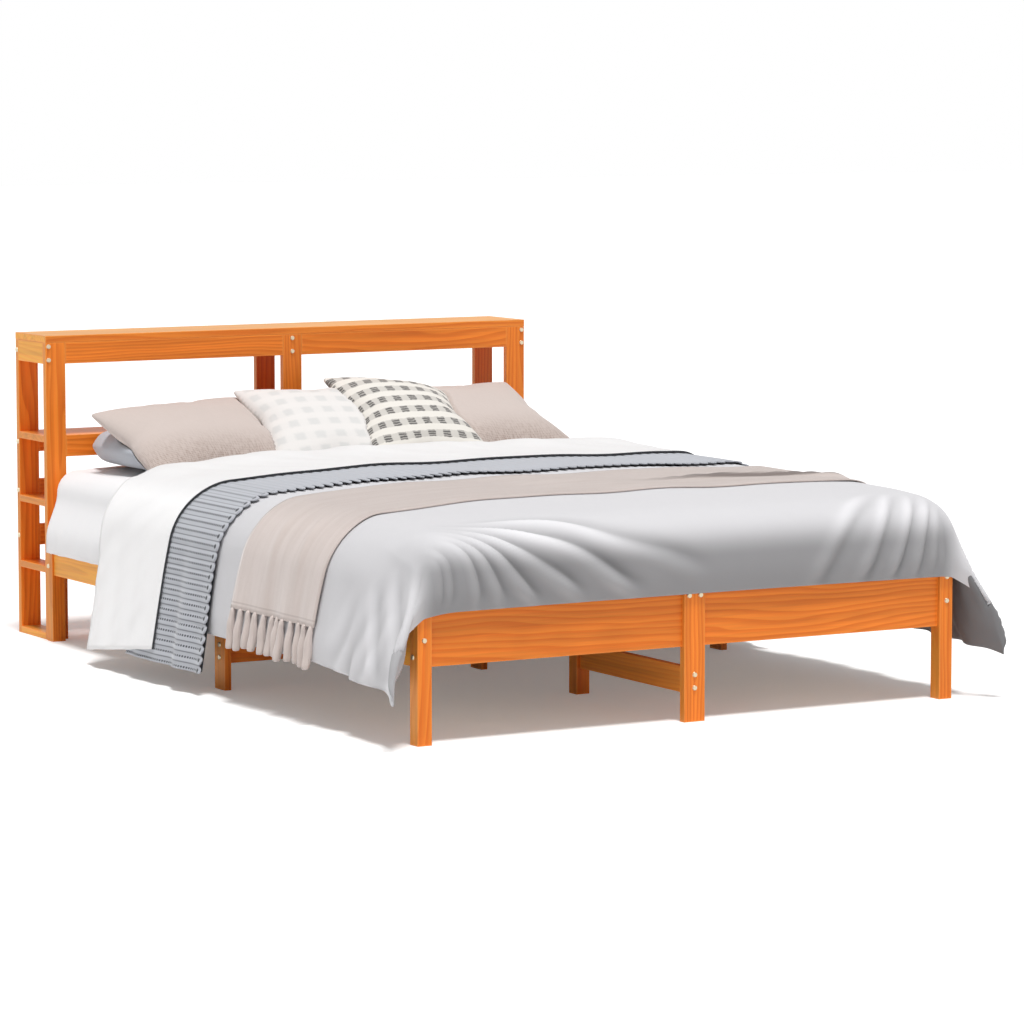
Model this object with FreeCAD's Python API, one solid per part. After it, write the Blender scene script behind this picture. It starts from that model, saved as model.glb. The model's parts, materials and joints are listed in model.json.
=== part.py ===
import FreeCAD, Part
import math
import os

# Pine double bed with a bookcase headboard, dressed with mattress, bedding and cushions.
# Millimetres. +X is to the right seen from the foot, +Y runs from the foot to the head, +Z is up.
# The origin is on the floor, in the middle of the whole outline.

# Sleeping place
sleep_width = 1400.0
sleep_length = 2000.0
mattress_thickness = 230.0
mattress_edge_radius = 50.0

# Timber sections
leg_section = 37.0
rail_height = 128.0
rail_thickness = 25.0
rail_floor_gap = 177.0
board_width = 57.0
board_thickness = 18.0
stretcher_height = 62.0
stretcher_floor_gap = 64.0
timber_edge_radius = 1.5

# Bed frame
foot_rail_set_back = 10.0
side_rail_set_in = 5.0
mattress_side_gap = 5.0
mattress_foot_gap = 3.0
mattress_head_gap = 12.0
centre_leg_thickness = 20.0
centre_post_from_foot = 505.0
mid_legs_from_foot = 990.0
ledger_width = 28.0
ledger_height = 30.0
beam_height = 43.0
head_rail_height = 60.0
slat_count = 13
slat_width = 70.0
slat_thickness = 15.0
slat_end_gap = 2.0

# Bookcase headboard
headboard_height = 810.0
headboard_depth = 198.0
headboard_set_in = 4.0
middle_shelf_top = 545.0
rear_rail_upper_top = 414.0
rear_rail_lower_top = 292.0
rung_upper_top = 374.0
rung_lower_top = 197.0
shelf_notch_clearance = 0.5

# Bolts with barrel nuts, screws and dowels
bolt_head_radius = 6.5
bolt_head_height = 2.6
bolt_radius = 3.0
bolt_bore_clearance = 0.2
bolt_tip_clearance = 2.0
bolt_length = 78.0
short_bolt_length = 68.0
centre_bolt_length = 30.0
rear_bolt_length = 106.0
bolt_recess_clearance = 1.0
barrel_nut_radius = 5.0
barrel_nut_clearance = 0.1
barrel_nut_length = 12.0
barrel_nut_bore_reach = 7.5
barrel_nut_from_tip = 12.0
front_bolt_low = 239.0
front_bolt_high = 297.0
side_bolt_low = 200.0
side_bolt_high = 268.0
stretcher_bolt_half_spacing = 15.5
centre_bolt_half_spacing = 15.5
headboard_bolt_half_spacing = 18.0
screw_radius = 2.0
screw_head_radius = 4.0
screw_head_height = 2.4
screw_length = 38.0
screw_clearance = 0.1
screw_from_end = 14.0
ledger_screw_count = 4
dowel_radius = 4.0
dowel_length = 30.0
short_dowel_length = 18.0
through_dowel_length = 48.0
dowel_clearance = 0.1
dowel_half_spacing = 16.0

# Bedding: thicknesses, drops and edges
cloth_gap = 0.5
shoulder_height = 430.0
side_flare_share = 0.24
fold_flare_share = 0.06
fold_pitch = 84.0
sheet_thickness = 5.0
sheet_shoulder_half_width = 706.0
sheet_hem_height = 242.0
duvet_top_thickness = 30.0
duvet_side_thickness = 15.0
duvet_hem_height = 138.0
duvet_head_edge = 1570.0
duvet_foot_fall = 19.0
duvet_foot_slope_length = 168.0
duvet_foot_overlap = 6.0
duvet_foot_rounding = 40.0
knit_thickness = 8.0
knit_foot_edge = 890.0
knit_head_edge = 1350.0
knit_hem_height = 44.0
coverlet_thickness = 6.0
coverlet_foot_edge = 1160.0
coverlet_head_edge = 1575.0
coverlet_hem_height = 40.0
throw_thickness = 5.0
throw_foot_edge = 375.0
throw_head_edge = 800.0
throw_hem_height = 212.0
tassel_count = 12
tassel_top_radius = 2.2
tassel_radius = 9.0
tassel_length = 86.0
tassel_spread_share = 0.11
corner_reach = 80.0
corner_out = 860.0
corner_tip_height = 100.0
corner_top_height = 235.0

# Pillows and cushions: each one's length, height and plumpness, the place of its middle,
# measured from the bed's middle, its foot and the floor, and its turn and lean in degrees
seam_thickness = 8.0
seam_pinch_share = 0.05
padded_station_shares = (-1.0, -0.8, -0.45, 0.0, 0.45, 0.8, 1.0)
soft_rest_gap = 0.4
grey_pillow_size = (620.0, 350.0, 95.0)
grey_pillow_place = (-340.0, 1852.0, 516.0)
grey_pillow_lie = (0.0, 0.0)
taupe_pillow_size = (460.0, 400.0, 115.0)
left_taupe_place = (-430.0, 1798.0, 552.0)
left_taupe_lie = (5.0, 24.0)
right_taupe_place = (430.0, 1798.0, 553.0)
right_taupe_lie = (-3.0, 25.0)
light_cushion_size = (380.0, 400.0, 105.0)
light_cushion_place = (-70.0, 1790.0, 557.0)
light_cushion_lie = (2.0, 26.0)
check_cushion_size = (400.0, 410.0, 105.0)
check_cushion_place = (210.0, 1768.0, 585.0)
check_cushion_lie = (-3.0, 27.0)

# Overrun of cutters past the faces that they cut
overrun = 5.0

# Places worked out from the sizes above
side_rail_inner = sleep_width / 2 + mattress_side_gap
side_rail_outer = side_rail_inner + rail_thickness
outer_half_width = side_rail_outer + side_rail_set_in
rail_pack = foot_rail_set_back + rail_thickness
frame_length = rail_pack + mattress_foot_gap + sleep_length + mattress_head_gap
outline_length = corner_reach + frame_length + headboard_depth + bolt_head_height
foot_face = corner_reach - outline_length / 2
frame_head = foot_face + frame_length
leg_height = rail_floor_gap + rail_height
leg_inner = outer_half_width - leg_section
foot_rail_front = foot_face + foot_rail_set_back
foot_rail_back = foot_rail_front + rail_thickness
foot_leg_back = foot_face + leg_section
head_leg_front = frame_head - leg_section
head_rail_front = frame_head - rail_thickness
slat_bottom = rail_floor_gap + beam_height
slat_top = slat_bottom + slat_thickness
mattress_foot = foot_rail_back + mattress_foot_gap
mattress_head = mattress_foot + sleep_length
mattress_top = slat_top + mattress_thickness
mid_leg_front = foot_face + mid_legs_from_foot
mid_leg_back = mid_leg_front + board_width
mid_leg_middle = (mid_leg_front + mid_leg_back) / 2
centre_post_front = foot_face + centre_post_from_foot
centre_post_back = centre_post_front + leg_section
stretcher_top = stretcher_floor_gap + stretcher_height
stretcher_middle = (stretcher_floor_gap + stretcher_top) / 2
half_board = board_thickness / 2
half_face = board_width / 2

headboard_half_width = outer_half_width - headboard_set_in
end_post_inner = headboard_half_width - board_width
headboard_front = frame_head
headboard_rear = headboard_front + headboard_depth
post_top = headboard_height - board_thickness
apron_bottom = post_top - board_width
shelf_rail_bottom = middle_shelf_top - board_width
front_post_back = headboard_front + board_thickness
rear_post_front = headboard_rear - board_thickness
centre_rear_post_front = rear_post_front - board_thickness

sheet_top = mattress_top + cloth_gap + sheet_thickness
sheet_half_width = outer_half_width + cloth_gap + sheet_thickness
sheet_bulge_height = leg_height + 2 * cloth_gap
duvet_top = sheet_top + cloth_gap + duvet_top_thickness
duvet_half_width = sheet_shoulder_half_width + cloth_gap + sheet_thickness + duvet_side_thickness
knit_top = duvet_top + cloth_gap + knit_thickness
coverlet_top = knit_top + cloth_gap + coverlet_thickness
throw_top = duvet_top + cloth_gap + throw_thickness

ahead = FreeCAD.Vector(0, 1, 0)
backward = FreeCAD.Vector(0, -1, 0)
rightward = FreeCAD.Vector(1, 0, 0)
upward = FreeCAD.Vector(0, 0, 1)
downward = FreeCAD.Vector(0, 0, -1)


def block(x0, x1, y0, y1, z0, z1):
    """A plain box between two corners."""
    return Part.makeBox(x1 - x0, y1 - y0, z1 - z0, FreeCAD.Vector(x0, y0, z0))


def timber(x0, x1, y0, y1, z0, z1):
    """A planed board or post between two corners, its long edges slightly rounded."""
    board = block(x0, x1, y0, y1, z0, z1)
    longest = max(x1 - x0, y1 - y0, z1 - z0)
    long_edges = [e for e in board.Edges if abs(e.Length - longest) < timber_edge_radius]
    return board.makeFillet(timber_edge_radius, long_edges)


def both_sides(x0, x1, y0, y1, z0, z1):
    """The same board on the left and on the right of the bed, x measured from the middle."""
    return timber(-x1, -x0, y0, y1, z0, z1), timber(x0, x1, y0, y1, z0, z1)


# Fasteners. A bolt passes through one piece into the end of another, where a barrel nut
# set across it takes the thread. Screws lie flush. Dowels join what no bolt holds.


class Bolt:
    """A round-headed bolt: seat is on the face under its head, across is the nut's open side."""

    def __init__(self, seat, direction, length, across=None, recessed=False):
        self.seat = seat
        self.direction = direction
        self.length = length
        self.across = across
        self.recessed = recessed

    def solid(self):
        """The bolt itself."""
        shank = Part.makeCylinder(bolt_radius, self.length, self.seat, self.direction)
        crown_radius = bolt_head_radius - bolt_head_height / 2
        crown = self.seat - self.direction * bolt_head_height
        head = Part.makeCone(
            crown_radius, bolt_head_radius, bolt_head_height, crown, self.direction
        )
        return head.fuse(shank)

    def nut_middle(self):
        """The middle of the barrel nut."""
        return self.seat + self.direction * (self.length - barrel_nut_from_tip)

    def nut(self):
        """The barrel nut with its threaded bore."""
        start = self.nut_middle() - self.across * (barrel_nut_length / 2)
        nut = Part.makeCylinder(barrel_nut_radius, barrel_nut_length, start, self.across)
        return nut.cut(self.shank_bore())

    def shank_bore(self):
        """The hole for the shank, to just past its tip."""
        radius = bolt_radius + bolt_bore_clearance
        depth = self.length + bolt_tip_clearance
        return Part.makeCylinder(radius, depth, self.seat, self.direction)

    def bores(self):
        """Everything that is drilled for this bolt."""
        found = [self.shank_bore()]
        if self.across is not None:
            start = self.nut_middle() - self.across * barrel_nut_bore_reach
            radius = barrel_nut_radius + barrel_nut_clearance
            depth = barrel_nut_bore_reach + rail_thickness / 2 + overrun
            found.append(Part.makeCylinder(radius, depth, start, self.across))
        if self.recessed:
            radius = bolt_head_radius + bolt_recess_clearance
            depth = bolt_head_height + overrun
            start = self.seat - self.direction * depth
            found.append(Part.makeCylinder(radius, depth, start, self.direction))
        return found


def frame_bolts():
    """The bolts of the bed frame."""
    found = []
    side_rail_middle = (side_rail_inner + side_rail_outer) / 2
    foot_rail_middle = (foot_rail_front + foot_rail_back) / 2
    head_seat = frame_head - bolt_head_height - cloth_gap
    for side in (-1, 1):
        inward = FreeCAD.Vector(-side, 0, 0)
        for height in (front_bolt_low, front_bolt_high):
            seat = FreeCAD.Vector(side * side_rail_middle, foot_face, height)
            found.append(Bolt(seat, ahead, bolt_length, inward))
            seat = FreeCAD.Vector(side * side_rail_middle, head_seat, height)
            found.append(Bolt(seat, backward, bolt_length, inward, recessed=True))
        for height in (side_bolt_low, side_bolt_high):
            seat = FreeCAD.Vector(side * outer_half_width, foot_rail_middle, height)
            found.append(Bolt(seat, inward, bolt_length, ahead))
        head_rail_middle = head_rail_front + rail_thickness / 2
        seat = FreeCAD.Vector(side * outer_half_width, head_rail_middle, side_bolt_low)
        found.append(Bolt(seat, inward, bolt_length, backward))
        seat = FreeCAD.Vector(side * centre_bolt_half_spacing, foot_face, front_bolt_high)
        found.append(Bolt(seat, ahead, centre_bolt_length))
    for offset in (-stretcher_bolt_half_spacing, stretcher_bolt_half_spacing):
        height = stretcher_middle + offset
        seat = FreeCAD.Vector(0, foot_face, height)
        found.append(Bolt(seat, ahead, short_bolt_length, rightward))
        seat = FreeCAD.Vector(0, centre_post_back, height)
        found.append(Bolt(seat, backward, bolt_length, rightward))
        for side in (-1, 1):
            inward = FreeCAD.Vector(-side, 0, 0)
            seat = FreeCAD.Vector(side * side_rail_outer, mid_leg_middle, height)
            found.append(Bolt(seat, inward, short_bolt_length, ahead))
    return found


def headboard_bolts():
    """The bolts of the headboard."""
    found = []
    apron_middle = apron_bottom + half_face
    side_apron_x = headboard_half_width - half_board
    rear_y = headboard_rear - half_board
    for offset in (-headboard_bolt_half_spacing, headboard_bolt_half_spacing):
        height = apron_middle + offset
        for side in (-1, 1):
            inward = FreeCAD.Vector(-side, 0, 0)
            seat = FreeCAD.Vector(side * side_apron_x, headboard_front, height)
            found.append(Bolt(seat, ahead, short_bolt_length, inward))
            seat = FreeCAD.Vector(side * side_apron_x, headboard_rear, height)
            found.append(Bolt(seat, backward, short_bolt_length, inward))
        seat = FreeCAD.Vector(0, headboard_front, height)
        found.append(Bolt(seat, ahead, short_bolt_length, rightward))
        seat = FreeCAD.Vector(0, headboard_rear, height)
        found.append(Bolt(seat, backward, bolt_length, rightward))
    for top in (post_top, middle_shelf_top, rear_rail_upper_top, rear_rail_lower_top):
        for side in (-1, 1):
            seat = FreeCAD.Vector(side * headboard_half_width, rear_y, top - half_face)
            inward = FreeCAD.Vector(-side, 0, 0)
            found.append(Bolt(seat, inward, rear_bolt_length, ahead))
    return found


def screw(seat, direction, clearance=0):
    """A countersunk screw flush with the face at seat, or with a clearance the hole for it."""
    head = Part.makeCone(
        screw_head_radius + clearance,
        screw_radius + clearance,
        screw_head_height,
        seat,
        direction,
    )
    shank = Part.makeCylinder(screw_radius + clearance, screw_length + clearance, seat, direction)
    return head.fuse(shank)


def slat_middles():
    """Where each slat's middle lies along the bed, evenly from the foot legs to the head legs."""
    first = foot_leg_back + slat_end_gap + slat_width / 2
    last = head_leg_front - slat_end_gap - slat_width / 2
    step = (last - first) / (slat_count - 1)
    return [first + step * i for i in range(slat_count)]


def screw_places():
    """Seat and direction of every screw."""
    places = []
    ledger_middle = side_rail_inner - ledger_width / 2
    ledger_face = side_rail_inner - ledger_width
    ledger_foot = foot_rail_back + leg_section
    ledger_span = head_leg_front - leg_section - ledger_foot
    for side in (-1, 1):
        outward = FreeCAD.Vector(side, 0, 0)
        for middle in slat_middles():
            places.append((FreeCAD.Vector(side * ledger_middle, middle, slat_top), downward))
        for i in range(ledger_screw_count):
            along = ledger_foot + ledger_span * (i + 0.5) / ledger_screw_count
            seat = FreeCAD.Vector(side * ledger_face, along, slat_bottom - ledger_height / 2)
            places.append((seat, outward))
        post_screw_x = side * (end_post_inner + screw_from_end)
        seat = FreeCAD.Vector(post_screw_x, head_rail_front, rail_floor_gap + head_rail_height / 2)
        places.append((seat, ahead))
        beam_middle = slat_bottom - beam_height / 2
        seat = FreeCAD.Vector(side * leg_section / 4, foot_rail_front, beam_middle)
        places.append((seat, ahead))
        seat = FreeCAD.Vector(side * leg_section / 4, frame_head, beam_middle)
        places.append((seat, backward))
    return places


def dowel_places():
    """Middle, direction and length of every dowel: they pin the joints that no bolt holds."""
    places = []
    front_y = headboard_front + half_board
    rear_y = headboard_rear - half_board
    apron_middle = apron_bottom + half_face
    shelf_rail_middle = shelf_rail_bottom + half_face
    for offset in (-dowel_half_spacing, dowel_half_spacing):
        middle = FreeCAD.Vector(0, mid_leg_middle + offset, rail_floor_gap)
        places.append((middle, upward, dowel_length))
        middle = FreeCAD.Vector(0, mid_leg_middle, stretcher_middle + offset)
        places.append((middle, rightward, through_dowel_length))
        for side in (-1, 1):
            for joint in (end_post_inner, half_face):
                for height in (apron_middle + offset, shelf_rail_middle + offset):
                    middle = FreeCAD.Vector(side * joint, front_y, height)
                    places.append((middle, rightward, dowel_length))
            post_x = side * (headboard_half_width - half_face) + offset
            for top in (rung_upper_top, rung_lower_top, board_thickness):
                for joint in (front_post_back, rear_post_front):
                    middle = FreeCAD.Vector(post_x, joint, top - half_board)
                    places.append((middle, ahead, short_dowel_length))
            middle = FreeCAD.Vector(
                side * (side_rail_outer - half_board), mid_leg_middle + offset, rail_floor_gap
            )
            places.append((middle, upward, dowel_length))
    centre_post_middle = (centre_post_front + centre_post_back) / 2
    middle = FreeCAD.Vector(0, centre_post_middle, rail_floor_gap)
    places.append((middle, upward, dowel_length))
    for side in (-1, 1):
        bay_middle = side * (end_post_inner + half_face) / 2
        for y in (front_y, rear_y):
            places.append((FreeCAD.Vector(bay_middle, y, post_top), upward, dowel_length))
        for joint in (front_post_back, rear_post_front):
            middle = FreeCAD.Vector(bay_middle, joint, middle_shelf_top - half_board)
            places.append((middle, ahead, short_dowel_length))
    return places


def dowel(middle, direction, length, clearance=0):
    """A beech pin through a joint at middle, or with a clearance the hole for it."""
    start = middle - direction * (length / 2 + clearance)
    return Part.makeCylinder(dowel_radius + clearance, length + 2 * clearance, start, direction)


# The bed frame


def foot_legs():
    """The two corner legs and the wide centre leg, which laps over the foot rails."""
    left, right = both_sides(leg_inner, outer_half_width, foot_face, foot_leg_back, 0, leg_height)
    centre = timber(
        -half_face, half_face, foot_face, foot_face + centre_leg_thickness, 0, leg_height
    )
    lap = block(
        -half_face - overrun,
        half_face + overrun,
        foot_rail_front,
        foot_rail_back,
        rail_floor_gap,
        leg_height + overrun,
    )
    return left, right, centre.cut(lap)


def rails():
    """Two foot rails that meet behind the centre leg, two side rails and the head rail."""
    foot_left, foot_right = both_sides(
        0, leg_inner, foot_rail_front, foot_rail_back, rail_floor_gap, leg_height
    )
    side_left, side_right = both_sides(
        side_rail_inner, side_rail_outer, foot_leg_back, head_leg_front, rail_floor_gap, leg_height
    )
    head = timber(
        -leg_inner,
        leg_inner,
        head_rail_front,
        frame_head,
        rail_floor_gap,
        rail_floor_gap + head_rail_height,
    )
    return foot_left, foot_right, side_left, side_right, head


def slats():
    """The slats, one solid each, lying across the ledgers and the centre beam."""
    end = side_rail_inner - slat_end_gap
    return [
        timber(-end, end, y - slat_width / 2, y + slat_width / 2, slat_bottom, slat_top)
        for y in slat_middles()
    ]


def frame_parts():
    """The timber of the bed frame by node name."""
    parts = {}
    parts["foot_leg_left"], parts["foot_leg_right"], parts["foot_leg_centre"] = foot_legs()
    (
        parts["foot_rail_left"],
        parts["foot_rail_right"],
        parts["side_rail_left"],
        parts["side_rail_right"],
        parts["head_rail"],
    ) = rails()
    parts["head_leg_left"], parts["head_leg_right"] = both_sides(
        leg_inner, outer_half_width, head_leg_front, frame_head, 0, leg_height
    )
    half_leg = leg_section / 2
    parts["centre_post"] = timber(
        -half_leg, half_leg, centre_post_front, centre_post_back, 0, rail_floor_gap
    )
    parts["centre_beam"] = timber(
        -half_leg, half_leg, foot_rail_back, head_rail_front, rail_floor_gap, slat_bottom
    )
    parts["foot_stretcher"] = timber(
        -half_board,
        half_board,
        foot_face + centre_leg_thickness,
        centre_post_front,
        stretcher_floor_gap,
        stretcher_top,
    )
    parts["mid_leg_left"], parts["mid_leg_right"] = both_sides(
        side_rail_outer - board_thickness,
        side_rail_outer,
        mid_leg_front,
        mid_leg_back,
        0,
        rail_floor_gap,
    )
    parts["mid_leg_centre"] = timber(
        -half_board, half_board, mid_leg_front, mid_leg_back, 0, rail_floor_gap
    )
    parts["cross_stretcher_left"], parts["cross_stretcher_right"] = both_sides(
        half_board,
        side_rail_outer - board_thickness,
        mid_leg_middle - half_board,
        mid_leg_middle + half_board,
        stretcher_floor_gap,
        stretcher_top,
    )
    parts["slat_ledgers"] = Part.Compound(
        both_sides(
            side_rail_inner - ledger_width,
            side_rail_inner,
            foot_leg_back,
            head_leg_front,
            slat_bottom - ledger_height,
            slat_bottom,
        )
    )
    parts["slats"] = Part.Compound(slats())
    return parts


# The bookcase headboard


def headboard_parts():
    """The timber of the headboard by node name."""
    parts = {}
    parts["front_post_left"], parts["front_post_right"] = both_sides(
        end_post_inner, headboard_half_width, headboard_front, front_post_back, 0, post_top
    )
    parts["rear_post_left"], parts["rear_post_right"] = both_sides(
        end_post_inner, headboard_half_width, rear_post_front, headboard_rear, 0, post_top
    )
    parts["front_post_centre"] = timber(
        -half_face, half_face, headboard_front, front_post_back, 0, post_top
    )
    parts["rear_post_centre"] = timber(
        -half_face, half_face, centre_rear_post_front, rear_post_front, 0, post_top
    )
    parts["top_board"] = timber(
        -headboard_half_width,
        headboard_half_width,
        headboard_front,
        headboard_rear,
        post_top,
        headboard_height,
    )
    parts["front_apron_left"], parts["front_apron_right"] = both_sides(
        half_face, end_post_inner, headboard_front, front_post_back, apron_bottom, post_top
    )
    parts["side_apron_left"], parts["side_apron_right"] = both_sides(
        headboard_half_width - board_thickness,
        headboard_half_width,
        front_post_back,
        rear_post_front,
        apron_bottom,
        post_top,
    )
    parts["centre_tie"] = timber(
        -half_board, half_board, front_post_back, centre_rear_post_front, apron_bottom, post_top
    )
    parts["shelf_rail_left"], parts["shelf_rail_right"] = both_sides(
        half_face,
        end_post_inner,
        headboard_front,
        front_post_back,
        shelf_rail_bottom,
        middle_shelf_top,
    )
    shelf = timber(
        -headboard_half_width,
        headboard_half_width,
        front_post_back,
        rear_post_front,
        middle_shelf_top - board_thickness,
        middle_shelf_top,
    )
    notch_half = half_face + shelf_notch_clearance
    notch = block(
        -notch_half,
        notch_half,
        centre_rear_post_front - shelf_notch_clearance,
        rear_post_front + overrun,
        shelf_rail_bottom,
        middle_shelf_top + overrun,
    )
    parts["middle_shelf"] = shelf.cut(notch)
    for name, top in (
        ("rear_apron", post_top),
        ("rear_shelf_rail", middle_shelf_top),
        ("rear_rail_upper", rear_rail_upper_top),
        ("rear_rail_lower", rear_rail_lower_top),
    ):
        parts[name] = timber(
            -end_post_inner, end_post_inner, rear_post_front, headboard_rear, top - board_width, top
        )
    upper = rung_pair(rung_upper_top)
    lower = rung_pair(rung_lower_top)
    floor = rung_pair(board_thickness)
    for i, side in enumerate(("left", "right")):
        parts["rungs_" + side] = Part.Compound([upper[i], lower[i]])
        parts["floor_board_" + side] = floor[i]
    return parts


def rung_pair(top):
    """The end boards at one height, left and right, flat between the front and rear posts."""
    return both_sides(
        end_post_inner,
        headboard_half_width,
        front_post_back,
        rear_post_front,
        top - board_thickness,
        top,
    )


def drilled(parts, bores):
    """The same parts with every hole that reaches them."""
    made = {}
    for name, shape in parts.items():
        solids = []
        for solid in shape.Solids:
            for bore in bores:
                if solid.BoundBox.intersect(bore.BoundBox):
                    solid = solid.cut(bore)
            solids.extend(solid.Solids)
        made[name] = solids[0] if len(solids) == 1 else Part.Compound(solids)
    return made


# The bedding. Every cloth that lies over the bed hangs along the same sloping, folded side,
# so that the layers stay parallel with a small gap between them.


def mattress():
    """The mattress, its edges rounded."""
    half = sleep_width / 2
    body = block(-half, half, mattress_foot, mattress_head, slat_top, mattress_top)
    return body.makeFillet(mattress_edge_radius, body.Edges)


def arc(start, middle, end):
    """An arc edge through three points."""
    return Part.Arc(start, middle, end).toShape()


def line(start, end):
    """A straight edge."""
    return Part.LineSegment(start, end).toShape()


def side_slope(y):
    """How far a hanging side moves out for each millimetre down, at this place along the bed."""
    turns = (y - foot_face) / fold_pitch
    fold = 1 - abs(2 * (turns - math.floor(turns)) - 1)
    return side_flare_share + fold_flare_share * fold


def fold_stations(foot_edge, head_edge):
    """Both edges of a cloth, and each crest and valley of the folds between them."""
    half_pitch = fold_pitch / 2
    first = math.floor((foot_edge - foot_face) / half_pitch) + 1
    last = math.ceil((head_edge - foot_face) / half_pitch) - 1
    between = [foot_face + half_pitch * i for i in range(first, last + 1)]
    return [foot_edge] + between + [head_edge]


def side_points(y, half_width, top, hem):
    """One face of a hanging side: hem, shoulder, middle of the shoulder's arc, and the arc's end."""
    radius = top - shoulder_height
    slant = radius * (1 - math.sqrt(0.5))
    return [
        (half_width + side_slope(y) * (shoulder_height - hem), hem),
        (half_width, shoulder_height),
        (half_width - slant, top - slant),
        (half_width - radius, top),
    ]


def draped_section(y, out, into):
    """A cloth's closed section across the bed, from the points of its outer and inner face."""

    def at(point, side):
        """The point in space, on one side of the bed."""
        return FreeCAD.Vector(side * point[0], y, point[1])

    edges = [
        line(at(out[0], -1), at(out[1], -1)),
        arc(at(out[1], -1), at(out[2], -1), at(out[3], -1)),
        line(at(out[3], -1), at(out[3], 1)),
        arc(at(out[3], 1), at(out[2], 1), at(out[1], 1)),
        line(at(out[1], 1), at(out[0], 1)),
        line(at(out[0], 1), at(into[0], 1)),
        line(at(into[0], 1), at(into[1], 1)),
        arc(at(into[1], 1), at(into[2], 1), at(into[3], 1)),
        line(at(into[3], 1), at(into[3], -1)),
        arc(at(into[3], -1), at(into[2], -1), at(into[1], -1)),
        line(at(into[1], -1), at(into[0], -1)),
        line(at(into[0], -1), at(out[0], -1)),
    ]
    return Part.Wire(edges)


def upper_cloth(foot_edge, head_edge, hem, thickness, top):
    """A thin cloth over the duvet, its sides parallel to the duvet's."""
    half_width = duvet_half_width + top - duvet_top
    sections = []
    for y in fold_stations(foot_face + foot_edge, foot_face + head_edge):
        out = side_points(y, half_width, top, hem)
        into = side_points(y, half_width - thickness, top - thickness, hem)
        sections.append(draped_section(y, out, into))
    return Part.makeLoft(sections, True, True)


def fitted_sheet():
    """The sheet over the mattress, which bulges over the side rails."""

    def side(sign, inset):
        """The points of one side of one face, from the hem up to the top."""
        top = sheet_top - inset
        half = sheet_half_width - inset
        shoulder = sheet_shoulder_half_width + sheet_thickness - inset
        radius = top - shoulder_height
        return [
            FreeCAD.Vector(sign * half, mattress_foot, sheet_hem_height),
            FreeCAD.Vector(sign * half, mattress_foot, sheet_bulge_height),
            FreeCAD.Vector(sign * shoulder, mattress_foot, shoulder_height),
            FreeCAD.Vector(sign * (shoulder - radius), mattress_foot, top),
        ]

    outer = side(-1, 0) + side(1, 0)[::-1]
    inner = side(1, sheet_thickness) + side(-1, sheet_thickness)[::-1]
    outline = outer + inner
    wire = Part.makePolygon(outline + [outline[0]])
    return Part.Face(wire).extrude(FreeCAD.Vector(0, sleep_length, 0))


def duvet_body():
    """The duvet over the bed and down both sides, its top sinking a little towards the foot."""
    start = mattress_foot - cloth_gap
    slope_end = start + duvet_foot_slope_length
    stations = fold_stations(start, foot_face + duvet_head_edge)
    sections = []
    for y in sorted(stations + [slope_end]):
        fall = duvet_foot_fall * max(0, 1 - (y - start) / duvet_foot_slope_length)
        out = side_points(y, duvet_half_width, duvet_top - fall, duvet_hem_height)
        inner_half = duvet_half_width - duvet_side_thickness
        into = side_points(y, inner_half, duvet_top - duvet_top_thickness, duvet_hem_height)
        sections.append(draped_section(y, out, into))
    return Part.makeLoft(sections, True, True)


def duvet_foot():
    """The duvet's foot end, rounded over the mattress and down to the foot rail."""
    back = mattress_foot - cloth_gap
    front = foot_face - duvet_foot_overlap
    bottom = leg_height + cloth_gap
    top = duvet_top - duvet_foot_fall
    end = block(-duvet_half_width, duvet_half_width, front, back, bottom, top)
    middles = [(edge, edge.CenterOfMass) for edge in end.Edges]
    free_edges = [e for e, m in middles if m.y < back - cloth_gap and m.z > bottom + cloth_gap]
    return end.makeFillet(duvet_foot_rounding, free_edges)


def duvet_corner(side):
    """The duvet's front corner, which hangs outside the corner leg and comes to a tip."""
    back_y = mattress_foot - cloth_gap
    front_y = foot_face - corner_reach
    inner_half = duvet_half_width - duvet_side_thickness
    out = side_points(back_y, duvet_half_width, duvet_top, duvet_hem_height)
    into = side_points(back_y, inner_half, duvet_top, duvet_hem_height)
    top_x = duvet_half_width + side_slope(front_y) * (shoulder_height - corner_top_height)
    front = [
        (top_x, corner_top_height),
        (corner_out, corner_tip_height),
        (corner_out - duvet_side_thickness, corner_tip_height),
        (top_x - duvet_side_thickness, corner_top_height),
    ]
    wires = []
    for y, points in ((back_y, [out[1], out[0], into[0], into[1]]), (front_y, front)):
        corners = [FreeCAD.Vector(side * x, y, z) for x, z in points]
        wires.append(Part.makePolygon(corners + [corners[0]]))
    return Part.makeLoft(wires, True, True)


def duvet():
    """The duvet: over the bed, down both sides in folds, with a rounded foot and two tips."""
    return duvet_body().fuse([duvet_foot(), duvet_corner(-1), duvet_corner(1)]).Solids[0]


def throw_tassels():
    """The tassels along both ends of the throw, hanging along the duvet's side."""
    half_width = duvet_half_width + throw_top - duvet_top - throw_thickness / 2
    seat_height = throw_hem_height - cloth_gap
    pitch = (throw_head_edge - throw_foot_edge) / tassel_count
    tassels = []
    for side in (-1, 1):
        for i in range(tassel_count):
            y = foot_face + throw_foot_edge + pitch * (i + 0.5)
            x = half_width + side_slope(y) * (shoulder_height - seat_height)
            hang = FreeCAD.Vector(side * (side_slope(y) + tassel_spread_share), 0, -1)
            seat = FreeCAD.Vector(side * x, y, seat_height)
            tassels.append(
                Part.makeCone(tassel_top_radius, tassel_radius, tassel_length, seat, hang)
            )
    return Part.Compound(tassels)


# Pillows and cushions


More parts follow.
